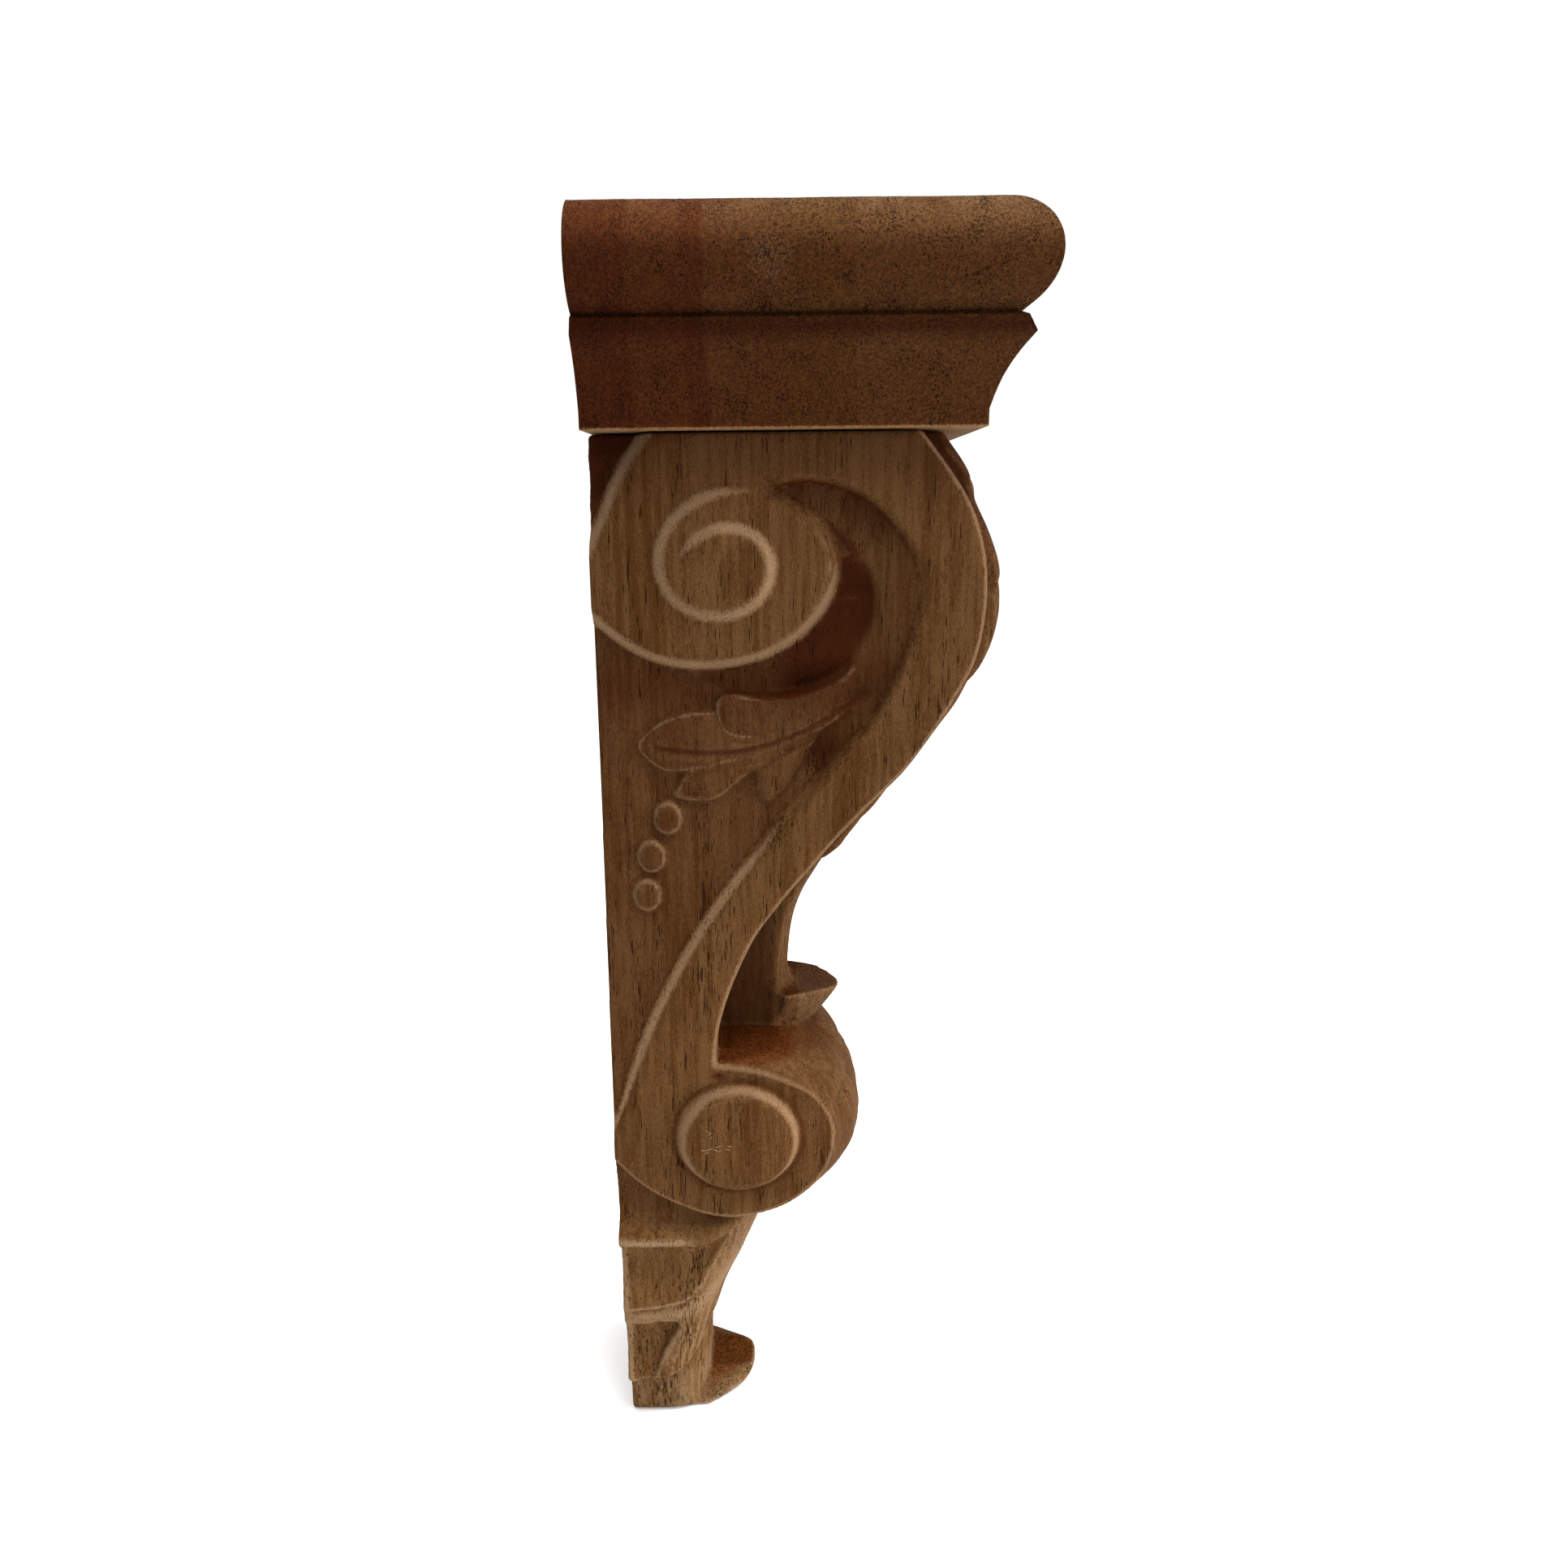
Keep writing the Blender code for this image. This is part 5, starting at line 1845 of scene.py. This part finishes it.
@dataclass
class CorbelBody:
    """The carved body as an object: its mesh, its worn edges and its finish."""

    foot: float
    top: float
    carving: CarvedBody = field(default_factory=CarvedBody)
    wear_rounds: int = 3
    sunk_rounds: int = 24
    sunk_depth: float = 0.7
    tip_light: float = 2.55

    @property
    def scale(self) -> float:
        """Return how many metres one millimetre of the pattern takes."""
        return (self.top - self.foot) / PATTERN_HEIGHT

    def on_pattern(self, places: np.ndarray) -> tuple[np.ndarray, np.ndarray, np.ndarray]:
        """Read places in the frame on the carver's pattern.

        Args:
            places: the mesh's corners, in metres.

        Returns:
            The distance from the middle plane, the depth and the height, in millimetres.
        """
        scale = self.scale
        return np.abs(places[:, 0]) / scale, -places[:, 1] / scale, (places[:, 2] - self.foot) / scale

    def build(self) -> bpy.types.Object:
        """Make the body's mesh from its carving, with the marks its finish reads.

        Returns:
            The body.
        """
        net = surface_net(self.carving.space())
        origin = np.array([-self.carving.x[-1], self.carving.depth[0], self.carving.height[0]])
        places = origin + net.corners * self.carving.spacing
        corners = np.column_stack([places[:, 0] * self.scale, -places[:, 1] * self.scale,
                                   self.foot + places[:, 2] * self.scale])
        item = mesh_object("carved_body_wood", corners, net.faces[:, ::-1])
        thin_out(item, self.carving.triangles)
        self.mark(item)
        strokes = ButtonStrokes(self.foot, self.scale).build()
        with bpy.context.temp_override(active_object=item, object=item,
                                       selected_editable_objects=[item, strokes]):
            bpy.ops.object.join()
        return item

    def mark(self, item: bpy.types.Object) -> None:
        """Store where edges are worn, and where bevels, crevices and hollows are.

        Args:
            item: the object.
        """
        places, _ = mesh_corners(item.data)
        marks = self.side_marks(places)
        off_back = ease((-places[:, 1] / MILLIMETRE - 0.8) / 1.2)
        off_back *= ease((self.top - places[:, 2]) / MILLIMETRE - 2.0)
        marks.wear = bulge(item.data, self.wear_rounds) / MILLIMETRE * off_back
        # painted shade: sunk places away from the leaf's tip, and the front under the cap and beside the
        # neck, are stored as hollow
        sunk = -bulge(item.data, self.sunk_rounds) / MILLIMETRE
        on_tip = self.on_leaf_tip(places)
        marks.hollow = np.maximum(marks.hollow, 0.5 * ease(sunk / self.sunk_depth) * (1.0 - on_tip))
        marks.hollow = np.maximum(marks.hollow, self.front_shade(places))
        # the top of the leaf's curled tip is made lighter, through the line mark that takes the sanded
        # colour
        marks.line = np.minimum(marks.line, NO_MARK - self.tip_light * on_tip)
        marks.store(item.data)

    def on_leaf_tip(self, places: np.ndarray) -> np.ndarray:
        """Return whether each place lies on the leaf's curled tip, 0 to 1.

        Args:
            places: the mesh's corners, in metres.

        Returns:
            The share of leaf tip at each place.
        """
        _, depth, height = self.on_pattern(places)
        level = ease((height - self.carving.leaf_tip_foot) / 1.5) * ease((102.0 - height) / 2.0)
        return level * ease((depth - 36.8) / 1.6)

    def front_shade(self, places: np.ndarray) -> np.ndarray:
        """Return how shaded the front is: under the cap, and beside the leaf's neck.

        Args:
            places: the mesh's corners, in metres.

        Returns:
            The shade at each place, 0 to 1.
        """
        across, depth, height = self.on_pattern(places)
        between = ease((self.carving.border - across) / 1.5)
        behind_face = ease((27.4 - across) / 0.8) * ease((depth - 45.0) / 5.0)
        under_cap = 0.8 * ease((height - 186.0) / 20.0) * ease((across - 17.0) / 6.0) * behind_face
        beside_neck = 0.6 * ease((126.0 - height) / 10.0) * ease((height - 91.0) / 2.0)
        return np.maximum(under_cap, between * beside_neck * ease((35.5 - depth) / 3.0))

    def side_marks(self, places: np.ndarray) -> SurfaceMarks:
        """Return the marks of the side relief at each place, and none on the front.

        Args:
            places: the mesh's corners, in metres.

        Returns:
            The marks, one of each for every corner.
        """
        grid = np.meshgrid(self.carving.depth, self.carving.height, indexing="ij")
        relief = SideRelief(*grid)
        found = relief.marks()
        across, depth, height = self.on_pattern(places)
        from_start = [depth - self.carving.depth[0], height - self.carving.height[0]]
        cells = np.column_stack([np.zeros(len(places)), *from_start]) / self.carving.spacing
        read = [sample_space(np.stack([layer, layer]), cells) for layer in found]
        away = across < 14.0 + 6.5 * ease(height - 55.0)
        blanks = (NO_MARK, NO_MARK, NO_MARK, 0.0)
        read = [np.where(away, blank, layer) for layer, blank in zip(read, blanks)]
        return SurfaceMarks(np.zeros(len(places)), *read)


@dataclass(frozen=True)
class SoftLight:
    """One soft square light: its place, what it points at, its side and its power in watts."""

    name: str
    place: Vector3
    aim: Vector3
    size: float
    power: float

    def hang(self) -> None:
        """Add the light to the scene."""
        lamp = bpy.data.lights.new(self.name, "AREA")
        lamp.size = self.size
        lamp.energy = self.power
        item = bpy.data.objects.new(self.name, lamp)
        item.location = self.place
        towards = Vector(self.aim) - Vector(self.place)
        item.rotation_euler = towards.to_track_quat("-Z", "Y").to_euler()
        bpy.context.scene.collection.objects.link(item)


@dataclass
class Studio:
    """The pale floor, the soft lights and the camera at the photograph's viewing angle."""

    floor_level: float
    floor_reach: float = 6.0
    floor_colour: Colour = (0.92, 0.92, 0.92)
    floor_roughness: float = 0.9
    floor_gloss: float = 0.1
    floor_glow: float = 0.12
    white: Colour = (1.0, 1.0, 1.0)
    sky: float = 1.0
    front_light: SoftLight = SoftLight("front light", (-0.25, -1.2, 0.0), (0.0, -0.03, -0.03), 0.7, 31.0)
    top_light: SoftLight = SoftLight("top light", (-0.35, -0.3, 1.1), (0.0, -0.04, 0.1), 0.7, 24.0)
    camera_place: Vector3 = (-0.26749, -0.03610, 0.09478)
    camera_pitch: float = math.radians(12.469)
    camera_roll: float = math.radians(0.596)
    camera_reach: tuple[float, float] = (0.01, 30.0)
    focal_pixels: float = 1554.12
    picture_pixels: float = 1932.0
    sensor: float = 36.0

    def floor(self) -> bpy.types.Object:
        """Lay the plain pale floor.

        Returns:
            The floor.
        """
        reach = self.floor_reach
        corners = np.array([(-reach, -reach, self.floor_level), (reach, -reach, self.floor_level),
                            (reach, reach, self.floor_level), (-reach, reach, self.floor_level)])
        item = mesh_object("floor", corners, np.array([[0, 1, 2, 3]]))
        wiring = Wiring("pale floor")
        for socket, value in (("Base Color", self.floor_colour), ("Roughness", self.floor_roughness),
                              ("Specular IOR Level", self.floor_gloss), ("Emission Color", self.white),
                              ("Emission Strength", self.floor_glow)):
            wiring.feed(wiring.shader.inputs[socket], value)
        item.data.materials.append(wiring.material)
        return item

    def light_sky(self) -> None:
        """Surround the scene with plain white."""
        world = bpy.data.worlds.new("studio white")
        world.use_nodes = True
        shader = world.node_tree.nodes["Background"]
        shader.inputs["Color"].default_value = (*self.white, 1.0)
        shader.inputs["Strength"].default_value = self.sky
        bpy.context.scene.world = world

    def lights(self) -> None:
        """Add the soft lights: one from the front and low, one from above."""
        self.front_light.hang()
        self.top_light.hang()

    def camera(self) -> None:
        """Set up the camera as it stood for the photograph."""
        data = bpy.data.cameras.new("photo camera")
        data.sensor_width = self.sensor
        data.lens = self.sensor * self.focal_pixels / self.picture_pixels
        data.clip_start, data.clip_end = self.camera_reach
        data.dof.use_dof = False
        item = bpy.data.objects.new("photo camera", data)
        forward = Vector((math.cos(self.camera_pitch), 0.0, -math.sin(self.camera_pitch)))
        level_right = Vector((0.0, -1.0, 0.0))
        level_up = level_right.cross(forward)
        right = level_right * math.cos(self.camera_roll) - level_up * math.sin(self.camera_roll)
        up = right.cross(forward)
        turn = Matrix((right, up, -forward)).transposed()
        item.matrix_world = Matrix.Translation(self.camera_place) @ turn.to_4x4()
        bpy.context.scene.collection.objects.link(item)
        bpy.context.scene.camera = item


def body_finish() -> WoodFinish:
    """Return the finish of the carved body.

    Returns:
        The finish.
    """
    return WoodFinish(
        name="carved hardwood", grain=GrainAxis.ALONG_HEIGHT,
        pale=(0.070, 0.0335, 0.0120), deep=(0.040, 0.0150, 0.0030), pore=(0.009, 0.0022, 0.0003),
        end_grain=(0.050, 0.0110, 0.0006), hollow=(0.0200, 0.0030, 0.0001), sanded=(0.165, 0.100, 0.054),
        # painted light and shade: darker near the top, lighter towards the foot
        painted_light_levels=((-0.102, (2.05, 2.60, 3.60)), (-0.0935, (1.44, 1.54, 1.60)), (-0.056, (1.30, 1.38, 1.44)),
                (-0.046, (1.06, 1.04, 1.02)), (0.108, (0.90, 0.90, 0.90))),
        pore_level=0.67, foot_pores=0.07,
    )


def cap_finish() -> WoodFinish:
    """Return the finish of the cap board, with a tint for each glued stave.

    Returns:
        The finish.
    """
    return WoodFinish(
        name="cap hardwood", grain=GrainAxis.ALONG_WIDTH,
        pale=(0.038, 0.0140, 0.0040), deep=(0.024, 0.0070, 0.0014), pore=(0.007, 0.0016, 0.0002),
        end_grain=(0.0310, 0.0094, 0.0021), hollow=(0.0125, 0.0015, 0.0001), sanded=(0.125, 0.075, 0.040),
        # painted light along the top of the bullnose; a thin strip at the foot is made lighter too
        painted_light_levels=((0.1082, (1.80, 1.75, 1.50)), (0.1090, (1.05, 1.02, 1.00)), (0.1355, (1.00, 1.00, 1.00)),
                (0.1435, (2.10, 2.60, 3.60))),
        pore_width=0.34, pore_level=0.62, pore_crowding=0.4, specks=0.30, speck_size=0.50,
        end_from=0.55, end_pits=0.25,
        staves=((0.0, (0.76, 0.54, 0.43)), (0.0107, (0.92, 0.78, 0.73)), (0.0201, (0.82, 0.62, 0.56)),
                (0.0237, (0.99, 1.02, 1.06)), (0.0374, (1.00, 1.12, 1.02)), (0.0497, (1.12, 1.32, 1.50))),
    )


def place_piece(item: bpy.types.Object, node: str, finish: WoodFinish) -> None:
    """Dress a piece, let it ride on the corbel and let it stand for its solid.

    Args:
        item: the piece.
        node: the solid that it stands for.
        finish: its finish.
    """
    item.data.materials.append(finish.material())
    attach(item, "root")
    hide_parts(node)
    LOG.info("%s: %d corners, %d faces", item.name, len(item.data.vertices), len(item.data.polygons))


def main() -> None:
    """Build every piece, log its mesh counts and light the studio."""
    logging.basicConfig(level=logging.INFO, format="%(name)s: %(message)s")
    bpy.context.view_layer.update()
    low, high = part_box(BODY_NODE)
    body = CorbelBody(foot=low[2], top=high[2]).build()
    place_piece(body, BODY_NODE, body_finish())
    cap_low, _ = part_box(CAP_NODE)
    cap = CapBoard(foot=cap_low[2]).build()
    place_piece(cap, CAP_NODE, cap_finish())
    studio = Studio(floor_level=low[2] - FLOOR_GAP)
    studio.floor()
    studio.light_sky()
    studio.lights()
    studio.camera()
    bpy.context.scene.view_settings.view_transform = "Standard"


if __name__ == "__main__":
    main()
